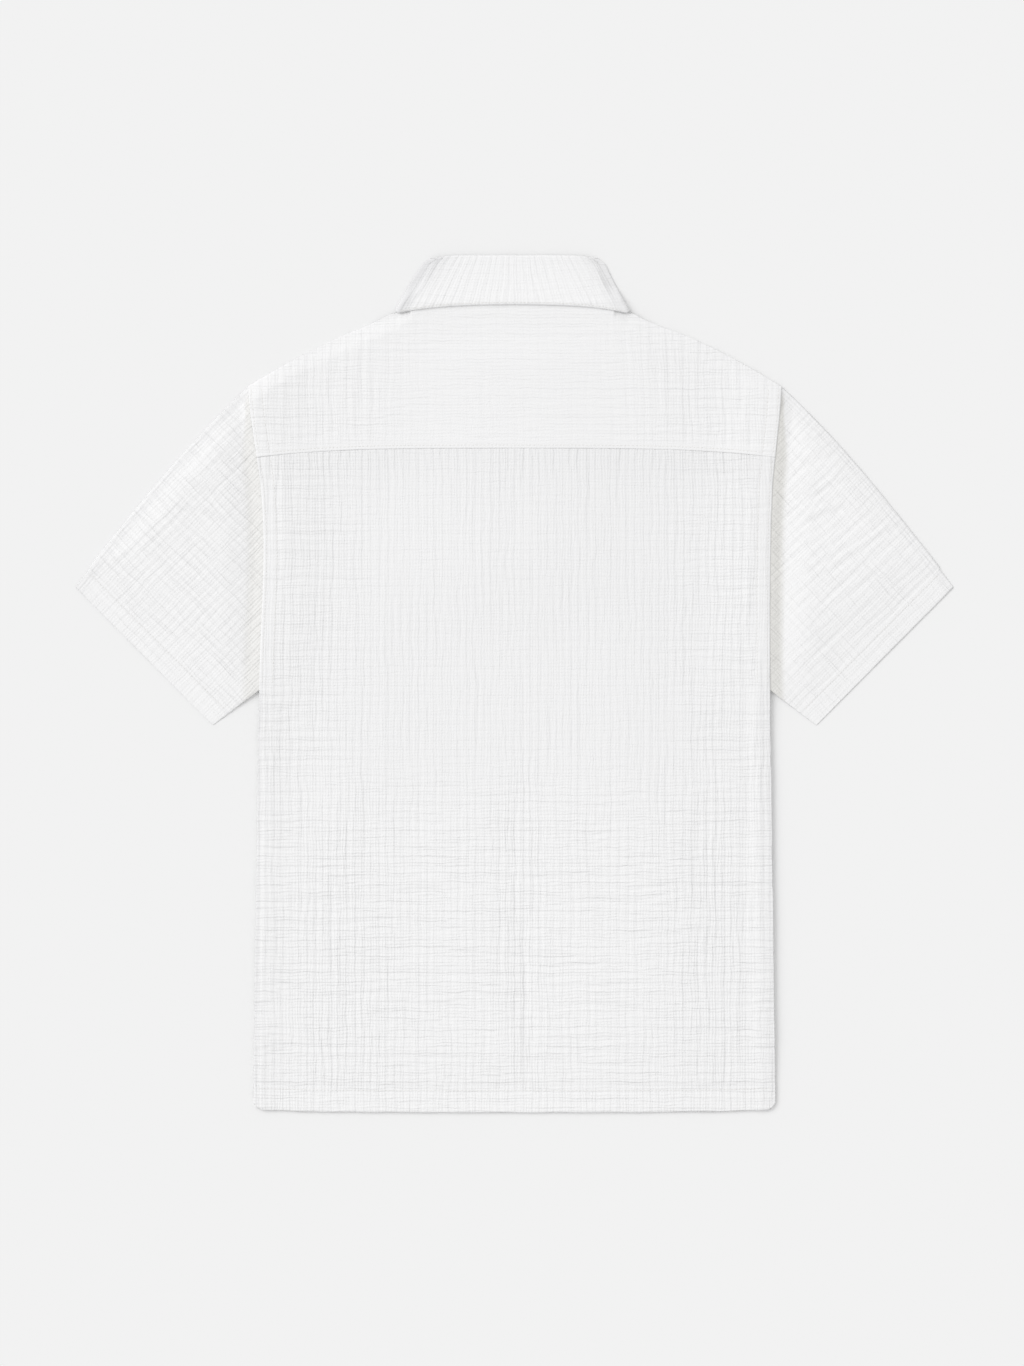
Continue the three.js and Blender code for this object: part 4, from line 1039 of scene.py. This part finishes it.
def build_band(name, half, low, z, seed):
    """A placket band: its shown face is below, with fine crinkle and rounded long edges."""
    across, shares = np.linspace(-half, half, 33), np.linspace(0, 1, 129)

    def spot(a, v):
        """The place at a distance from the centre line and a share of the way up."""
        return a, mix(low, PLACKET["high"], v)

    def shown(x, y):
        """The lower face: crinkle that only rises, rounded edges and a groove where the edge is stitched."""
        crinkle = furrows(y, x, 6.5, seed, 0.4) * 0.2 + furrows(x, y, 5.2, seed + 5, 0.5) * 0.2
        away = half - np.abs(x)
        edge = round_off((away + 0.2) / 2)
        return z + np.maximum(0, 0.14 - crinkle) * edge + 0.3 * (1 - edge) + 0.2 * hill(away - 2.5, 0.7)

    def plain(x, y):
        """The upper face."""
        return np.full(np.shape(x), z + THIN_CLOTH)

    def marks(x, y):
        """Even fine creases."""
        return {"upright": 0.5, "level": 0.4}

    return panel(name, across, shares, spot, shown, plain, marks)


# Buttons

def build_button(number):
    """A turned button, face down, sewn through four pits by two bars of thread.

    Its lower face is a grid round the middle: a bowl inside a round rim, with a bell-shaped pit at each hole.
    Its upper face is nearly flat, and the rim is half a circle between the two."""
    radius, thick, hole = BUTTON["radius"], BUTTON["thick"], BUTTON["hole_at"]
    sides, y = 96, BUTTON["first"] - BUTTON["pitch"] * (number - 1)
    out = np.concatenate([np.linspace(0.02, 0.9, 40), 0.9 + 0.1 * np.sin(np.linspace(0, np.pi, 13)[1:-1]),
                          np.linspace(0.9, 0.02, 10)]) * radius
    turn = np.arange(sides) * 2 * np.pi / sides
    a, b = out[:, None] * np.cos(turn), out[:, None] * np.sin(turn)
    share = out / radius
    face = BUTTON["bowl"] * (1 - smooth(0.5, 0.76, share)) + BUTTON["edge"] * smooth(0.84, 0.9, share)
    face[40:51] = mix(BUTTON["edge"], thick - BUTTON["edge"], np.linspace(0, 1, 13)[1:-1])
    face[51:] = thick - BUTTON["edge"] * smooth(0.6, 0.9, share[51:])
    holes = [(p * hole, q * hole) for p in (-1, 1) for q in (-1, 1)]
    pits = sum(hill(np.hypot(a - p, b - q), BUTTON["pit_wide"]) for p, q in holes)
    lower = np.arange(len(out))[:, None] < 40
    up = face[:, None] + np.where(lower, BUTTON["pit"] * np.minimum(pits, 1), 0)
    points = np.stack([a, b + y, up], axis=-1).reshape(-1, 3)
    index = np.arange(out.size * sides).reshape(out.size, sides)
    ends = [[0, y, face[0]], [0, y, thick]]
    points = np.concatenate([points, ends])
    poles = np.concatenate([fan(points.shape[0] - 2, index[0]), fan(points.shape[0] - 1, index[-1][::-1])])
    return make_mesh(f"button_{number}_turned", points, poles, grid_quads(index, True)[:, ::-1])


def fan(middle, ring):
    """Triangles between a middle vertex and the ring of vertices round it."""
    return np.stack([np.full(len(ring), middle), ring, np.roll(ring, -1)], axis=-1)


def button_threads():
    """Two bars of thread over each button's face, between its pits, in three plies each."""
    paths = []
    hole = BUTTON["hole_at"]
    s = np.linspace(-1, 1, 13)
    for number in range(BUTTON["count"]):
        y = BUTTON["first"] - BUTTON["pitch"] * number
        for bar in (-hole, hole):
            for ply in (-0.28, 0, 0.28):
                z = BUTTON["bowl"] + 0.85 - 1.0 * np.sqrt(1 - (0.96 * s) ** 2) * (1 - 0.2 * abs(ply))
                paths.append(np.stack([bar + ply + 0 * s, y + hole * s, z], axis=-1))
    path = np.array(paths)
    way = np.gradient(path, axis=1)
    way /= np.linalg.norm(way, axis=-1, keepdims=True)
    across = np.array([1.0, 0, 0]) + 0 * way
    return tubes("button_threads", path[:, :, None] + 0.16 * circle(across, np.cross(across, way), 8))


# Threads and stitches

def circle(across, up, sides):
    """Places round a circle of radius 1 that two directions span."""
    turn = np.arange(sides) * 2 * np.pi / sides
    return across[..., None, :] * np.cos(turn)[:, None] + up[..., None, :] * np.sin(turn)[:, None]


def tubes(name, points):
    """One mesh of tubes, from points by tube, ring and place round the ring, closed at both ends by fans."""
    count, rings, sides = points.shape[:3]
    index = np.arange(count * rings * sides).reshape(count, rings, sides)
    far = np.roll(index, -1, axis=2)
    quads = np.stack([index[:, :-1], far[:, :-1], far[:, 1:], index[:, 1:]], axis=-1).reshape(-1, 4)
    corners = np.array([[0, k + 1, k] for k in range(1, sides - 1)])
    first, last = index[:, 0][:, corners], index[:, -1][:, corners[:, ::-1]]
    caps = np.concatenate([first.reshape(-1, 3), last.reshape(-1, 3)])
    return make_mesh(name, points.reshape(-1, 3), caps, quads)


def stitches(name, lines):
    """One mesh of stitches along several lines of points. Each stitch is a tube of five rings, six points
    round, whose radius swells as the square root of a sine and whose middle stands a little proud."""
    s = np.linspace(0, 1, 5)
    radius = STITCH["radius"] * (0.25 + 0.75 * np.sqrt(np.sin(np.pi * np.clip(s, 0.02, 0.98))))
    half = STITCH["long"] / 2
    centres, ways = [], []
    for path in lines:
        length = lengths(path)
        count = max(1, int(length[-1] / STITCH["pitch"]))
        at = (np.arange(count) + 0.5) * length[-1] / count
        start, end = (np.stack([np.interp(at + d, length, path[:, k]) for k in range(3)], axis=-1)
                      for d in (-half, half))
        centres.append((start + end) / 2)
        ways.append(end - start)
    centres, ways = np.concatenate(centres), np.concatenate(ways)
    tangent = ways / np.linalg.norm(ways, axis=1, keepdims=True)
    across = np.cross(tangent, [0, 0, 1.0])
    across /= np.linalg.norm(across, axis=1, keepdims=True)
    up = np.cross(across, tangent)
    axis = centres[:, None] + ways[:, None] * (s - 0.5)[None, :, None]
    axis = axis + up[:, None] * (0.10 * np.sin(np.pi * s))[None, :, None]
    points = axis[:, :, None] + circle(across[:, None], up[:, None], 6) * radius[None, :, None, None]
    return tubes(name, points)


def on_face(x, y, face, lift=0.02):
    """A line of points on a face, at plan places."""
    x, y = np.broadcast_arrays(np.asarray(x, float), np.asarray(y, float))
    return np.stack([x, y, face(x, y) + lift], axis=-1)


def hem_stitches():
    """The line that holds the hem, between the side seams."""
    x = np.linspace(-HEM["half"] + 4, HEM["half"] - 4, 400)
    return stitches("hem_stitches", [on_face(x, hem_line(x * 0.96) + HEM["stitch"], back_top_face)])


def yoke_stitches():
    """The line just above the yoke seam, between the felled armhole seams."""
    x = np.linspace(-YOKE_SEAM["half"] + 13, YOKE_SEAM["half"] - 13, 400)
    return stitches("yoke_stitches", [on_face(x, yoke_seam(x) + YOKE_SEAM["stitch"], yoke_top_face)])


def armhole_stitches():
    """The two lines of each felled armhole seam, on the back panel and on the yoke."""
    stretches = ((UNDERARM + 6, YOKE_SEAM["height"] - 10, back_top_face),
                 (YOKE_SEAM["height"] - 4, SHOULDER["height"] - 2, yoke_top_face))
    lines = []
    for side in (-1, 1):
        for inset in (LIP["stitch"], LIP["wide"]):
            for low, high, face in stretches:
                y = np.linspace(low, high, 200)
                lines.append(on_face(side * (half_width(y) - inset), y, face))
    return stitches("armhole_stitches", lines)


def sleeve_stitch_line(side):
    """The line that holds the sleeve's hem, on its upper layer."""
    across = np.linspace(0.03, 0.97, 200)
    along = np.linspace(0.7, 1, 61)
    grid, places, _ = sleeve_face(*np.meshgrid(across, along), True, 0, SLEEVE_SIDES[side])
    row = np.argmin(np.abs(places[..., 0] - (SLEEVE["hem"] - SLEEVE["stitch_in"])), axis=0)
    path = grid[row, np.arange(len(across))] + [0, 0, 0.02]
    path[:, 0] *= side
    return path


def collar_stitches():
    """Edge stitching along the collar's shown edge."""
    ring = collar_ring(fall_rulings, COLLAR_STEPS)
    a, b, turn, _ = ring
    reach = np.hypot(*(b - a).T)
    share = 1 - FALL["stitch"] / reach
    from_edge = np.full((1, len(reach)), FALL["stitch"])
    offset, _ = fall_offsets(lengths((a + b) / 2)[None], (share * reach)[None], from_edge, turn[None],
                             from_fold(ring)[None])
    path = np.column_stack([a + (b - a) * share[:, None], COLLAR_CENTRE + offset[0] + 0.02])
    return stitches("collar_stitches", [path[turn > 3.0]])


# Materials

GAUZE = {
    "puff": (0.915, 0.913, 0.916),
    # painted shade: the colour that creases and hollows are darkened towards
    "crease": (0.76, 0.758, 0.762),
    # painted shade: warmer and darker, for the troughs beside the armholes
    "shade": (0.785, 0.777, 0.752),
    # painted shade for grooves, seams and collar folds, also used for some even grey
    "fold": (0.68, 0.68, 0.69),
    "depth": 0.22,  # of a fine crease, in millimetres
    "grain": 0.28,  # height of the fuzz
    "yarn": 0.02,  # height of the weave
    "level_deeper": 1.9,  # the light comes more from the side, and shows level creases less
    # how much painted shade the fine creases and the mesh's hollows get
    "upright_painted_shade": 0.10,
    "level_painted_shade": 0.05,
    "hollow_painted_shade": 0.16,
}
FINE_CREASES = {  # wide is a crease's half width as a share of the pitch
    "upright": [{"pitch": 2.7, "wide": 0.5, "along": 36, "much": 0.65},
                {"pitch": 7.2, "wide": 0.4, "along": 70, "much": 1.0}],
    "level": [{"pitch": 2.9, "wide": 0.5, "along": 32, "much": 0.75},
              {"pitch": 8.1, "wide": 0.42, "along": 60, "much": 0.8}],
}
THREAD = (0.86, 0.85, 0.83)
PEARL = {"base": (0.87, 0.86, 0.82), "dark": (0.80, 0.78, 0.73), "light": (0.93, 0.93, 0.91)}
PAPER = (0.878, 0.878, 0.878)


def shader(name, colour, roughness):
    """A new material with its principled shader, and a maker of further nodes."""
    material = bpy.data.materials.new(name)
    material.use_nodes = True
    nodes, links = material.node_tree.nodes, material.node_tree.links
    principled = nodes["Principled BSDF"]
    principled.inputs["Base Color"].default_value = (*colour, 1)
    principled.inputs["Roughness"].default_value = roughness

    def node(kind, inputs=(), **settings):
        """A new node with its settings, and its inputs linked or set."""
        made = nodes.new(kind)
        for key, value in settings.items():
            setattr(made, key, value)
        for socket, value in dict(inputs).items():
            if hasattr(value, "is_output"):
                links.new(value, made.inputs[socket])
            else:
                made.inputs[socket].default_value = value
        return made

    return material, principled, node, links


def work(node, operation, *values):
    """The result of a math node on sockets or numbers."""
    return node("ShaderNodeMath", dict(enumerate(values)), operation=operation).outputs[0]


def ramp(node, value, source, target, **settings):
    """A value mapped from one range to another, and held at its ends."""
    inputs = {"Value": value, "From Min": source[0], "From Max": source[1], "To Min": target[0],
              "To Max": target[1]}
    return node("ShaderNodeMapRange", inputs, **settings).outputs["Result"]


def blend(node, factor, a, b):
    """A colour between two, by a factor."""
    return node("ShaderNodeMix", {"Factor": factor, "A": a, "B": b}, data_type="RGBA").outputs["Result"]


def bump(node, height, deep, strength=1.0, over=(), **settings):
    """The surface that a height of some millimetres makes, over another bumped surface if there is one."""
    inputs = {"Height": height, "Strength": strength, "Distance": deep * MM, **dict(over)}
    return node("ShaderNodeBump", inputs, **settings).outputs["Normal"]


def noise_texture(node, spot, scale, detail, **more):
    """Smooth noise from 0 to 1 at a place."""
    inputs = {"Vector": spot, "Scale": scale, "Detail": detail, **more}
    return node("ShaderNodeTexNoise", inputs).outputs["Fac"]


def crease_lines(node, way, pitch, wide, along, much):
    """Depth of thread-straight creases, about much in the deepest, one at each whole number of pitches.

    Slow noise moves them a little sideways, and noise along each makes it deeper and shallower. Along is the
    length over which it changes, in millimetres."""
    across_it, along_it = way
    cells = work(node, "MULTIPLY", across_it, 1 / (pitch * MM))
    far = work(node, "MULTIPLY", along_it, 1 / (along * MM))
    short = work(node, "MULTIPLY", along_it, 1 / (0.75 * along * MM))
    slow = work(node, "MULTIPLY", cells, 0.29)
    bent = noise_texture(node, node("ShaderNodeCombineXYZ", {0: slow, 1: short}).outputs[0], 1.0, 2.0)
    phase = work(node, "MULTIPLY_ADD", bent, 1.6, cells)
    row = work(node, "ROUND", phase)
    off = work(node, "ABSOLUTE", work(node, "SUBTRACT", phase, row))
    crease = ramp(node, off, (0.0, wide), (1.0, 0.0), interpolation_type="SMOOTHSTEP")
    spot = node("ShaderNodeCombineXYZ", {0: work(node, "MULTIPLY", row, 0.73), 1: far, 2: 7.3}).outputs[0]
    fade = ramp(node, noise_texture(node, spot, 1.0, 1.5), (0.3, 0.7), (0.3, 1.1))
    return work(node, "MULTIPLY", work(node, "MULTIPLY", crease, fade), much)


def weave(node, cloth):
    """Height of the yarns: two crossing waves at a half millimetre, added."""
    inputs = {"Vector": cloth, "Scale": 570.0, "Distortion": 1.5, "Detail": 1.0, "Detail Scale": 1.0}
    yarns = [node("ShaderNodeTexWave", inputs, bands_direction=way).outputs["Fac"] for way in ("X", "Y")]
    return work(node, "ADD", *yarns)


def gauze_material():
    """White cotton double gauze: fine creases both ways, with painted shade in the creases, over a yarn
    weave.
    """
    material, principled, node, links = shader("gauze", GAUZE["puff"], 0.92)
    principled.inputs["Sheen Weight"].default_value = 0.1
    principled.inputs["Sheen Roughness"].default_value = 0.6
    principled.inputs["Specular IOR Level"].default_value = 0.2
    cloth = node("ShaderNodeUVMap", uv_map="cloth").outputs["UV"]

    def mark(name):
        """A named value of the mesh's points."""
        return node("ShaderNodeAttribute", attribute_name=name).outputs["Fac"]

    def scaled(value, by):
        """A value times another."""
        return work(node, "MULTIPLY", value, by)

    def creases_of(way, axes):
        """Both kinds of fine creases along one way of the cloth, as strong as the mesh's points say."""
        fine, broad = (crease_lines(node, axes, **row) for row in FINE_CREASES[way])
        return scaled(work(node, "ADD", fine, broad), mark(way))

    across, along = node("ShaderNodeSeparateXYZ", {0: cloth}).outputs[:2]
    uprights, levels = creases_of("upright", (across, along)), creases_of("level", (along, across))
    creases = work(node, "ADD", uprights, scaled(levels, GAUZE["level_deeper"]))
    surface = bump(node, noise_texture(node, cloth, 800.0, 2.0), GAUZE["grain"])
    surface = bump(node, weave(node, cloth), GAUZE["yarn"], over={"Normal": surface})
    surface = bump(node, creases, GAUZE["depth"], over={"Normal": surface}, invert=True)
    links.new(surface, principled.inputs["Normal"])
    # painted shade in the fine creases and in the hollows of the mesh
    painted_crease_shade = work(node, "ADD", scaled(uprights, GAUZE["upright_painted_shade"]), scaled(levels, GAUZE["level_painted_shade"]))
    painted_crease_shade = work(node, "ADD", painted_crease_shade, scaled(mark("crease"), GAUZE["hollow_painted_shade"]))
    tone = blend(node, painted_crease_shade, (*GAUZE["puff"], 1), (*GAUZE["crease"], 1))
    # painted shade, darker and warmer, in the troughs beside the armholes
    tone = blend(node, mark("shade"), tone, (*GAUZE["shade"], 1))
    # painted shade in grooves, seams and collar folds, with some even grey
    tone = blend(node, mark("grey"), tone, (*GAUZE["fold"], 1))
    links.new(tone, principled.inputs["Base Color"])
    return material


def thread_material():
    """Cotton thread: fine diagonal twist."""
    material, principled, node, links = shader("thread", THREAD, 0.7)
    spot = node("ShaderNodeTexCoord").outputs["Object"]
    twist = node("ShaderNodeTexWave", {"Vector": spot, "Scale": 500.0}, bands_direction="DIAGONAL")
    links.new(bump(node, twist.outputs["Fac"], 0.1, 0.4), principled.inputs["Normal"])
    return material


def button_material():
    """Pale pearly button: soft cloudy bands under a smooth coat."""
    material, principled, node, links = shader("button", PEARL["base"], 0.28)
    principled.inputs["Coat Weight"].default_value = 0.3
    spot = node("ShaderNodeTexCoord").outputs["Object"]
    cloud = noise_texture(node, spot, 220.0, 4.0, Distortion=2.0)
    links.new(blend(node, cloud, (*PEARL["dark"], 1), (*PEARL["light"], 1)), principled.inputs["Base Color"])
    return material


def floor_material():
    """Plain pale paper."""
    material, principled, node, links = shader("paper", PAPER, 0.95)
    principled.inputs["Specular IOR Level"].default_value = 0.0
    grain = noise_texture(node, node("ShaderNodeTexCoord").outputs["Object"], 900.0, 2.0)
    links.new(bump(node, grain, 0.1, 0.02), principled.inputs["Normal"])
    return material


# Stage: camera, light and floor

CAMERA = {"x": -2.25, "y": 0.8, "height": 4000.0, "frame_high": 1229.4}
SUN = {"azimuth": 146.0, "elevation": 36.0, "strength": 1.35, "soft": 40.0}
SKY = 0.758


def build_camera():
    """A camera high above the shirt that looks straight down, its lens set by the height that it frames."""
    data = bpy.data.cameras.new("camera")
    data.sensor_fit = "VERTICAL"
    data.sensor_height = 36
    data.lens = data.sensor_height * CAMERA["height"] / CAMERA["frame_high"]
    data.clip_end = 100
    camera = bpy.data.objects.new("camera", data)
    camera.location = (CAMERA["x"] * MM, CAMERA["y"] * MM, CAMERA["height"] * MM)
    bpy.context.scene.collection.objects.link(camera)
    bpy.context.scene.camera = camera


def build_light():
    """A soft sun from the upper left and an even white sky."""
    data = bpy.data.lights.new("sun", "SUN")
    data.energy = SUN["strength"]
    data.angle = math.radians(SUN["soft"])
    sun = bpy.data.objects.new("sun", data)
    sun.rotation_euler = (0, math.radians(90 - SUN["elevation"]), math.radians(SUN["azimuth"]))
    bpy.context.scene.collection.objects.link(sun)
    world = bpy.data.worlds.new("sky")
    world.use_nodes = True
    background = world.node_tree.nodes["Background"]
    background.inputs["Color"].default_value = (1, 1, 1, 1)
    background.inputs["Strength"].default_value = SKY
    bpy.context.scene.world = world
    bpy.context.scene.view_settings.view_transform = "Standard"


def build_floor():
    """A wide sheet of paper just below the shirt, for the picture only."""
    half, z = 4000.0, -0.1
    points = np.array([[-half, -half, z], [half, -half, z], [half, half, z], [-half, half, z]])
    floor = make_mesh("floor", points, NO_TRIANGLES, np.array([[0, 1, 2, 3]]))
    floor.data.materials.append(floor_material())


# The shirt

def place(piece, material, replaced=()):
    """Gives a piece its material, hangs it on the root body and hides the parts of model.glb that it
    replaces.
    """
    piece.data.materials.clear()
    piece.data.materials.append(material)
    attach(piece, "root")
    if replaced:
        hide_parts(*replaced)
    return piece


def build_shirt():
    """All pieces, listed with the sizes of the sheets that they were cut from, then the stitches, buttons and
    their threads.
    """
    gauze, thread, button = gauze_material(), thread_material(), button_material()
    cut = [
        {"piece": build_back(), "width": 0.50, "length": 0.64, "area": 0.300},
        {"piece": build_yoke(), "width": 0.50, "length": 0.16, "area": 0.066},
        {"piece": build_front(), "width": 0.50, "length": 0.77, "area": 0.345},
        {"piece": build_sleeve("sleeve_left_cloth", -1), "width": 0.39, "length": 0.29, "area": 0.062},
        {"piece": build_sleeve("sleeve_right_cloth", 1), "width": 0.39, "length": 0.29, "area": 0.062},
        {"piece": build_collar_fall(), "width": 0.46, "length": 0.09, "area": 0.024},
        {"piece": build_collar_stand(), "width": 0.42, "length": 0.05, "area": 0.015},
        {"piece": build_band("placket_outer_cloth", PLACKET["half"], PLACKET["low"], PLACKET["outer"], 221),
         "width": 0.030, "length": 0.15, "area": None},
        {"piece": build_band("placket_under_cloth", PLACKET["under"], PLACKET["low"] + 4,
                             PLACKET["inner"], 231),
         "width": 0.028, "length": 0.15, "area": None},
    ]
    for row in cut:
        piece = place(row["piece"], gauze, [row["piece"].name.removesuffix("_cloth")])
    sewing = [hem_stitches(), yoke_stitches(), armhole_stitches(), collar_stitches(),
              stitches("sleeve_stitches", [sleeve_stitch_line(side) for side in (-1, 1)])]
    for piece in sewing:
        place(piece, thread)
    for number in range(1, BUTTON["count"] + 1):
        place(build_button(number), button, [f"button_{number}"])
    place(button_threads(), thread)


build_camera()
build_light()
build_floor()
build_shirt()
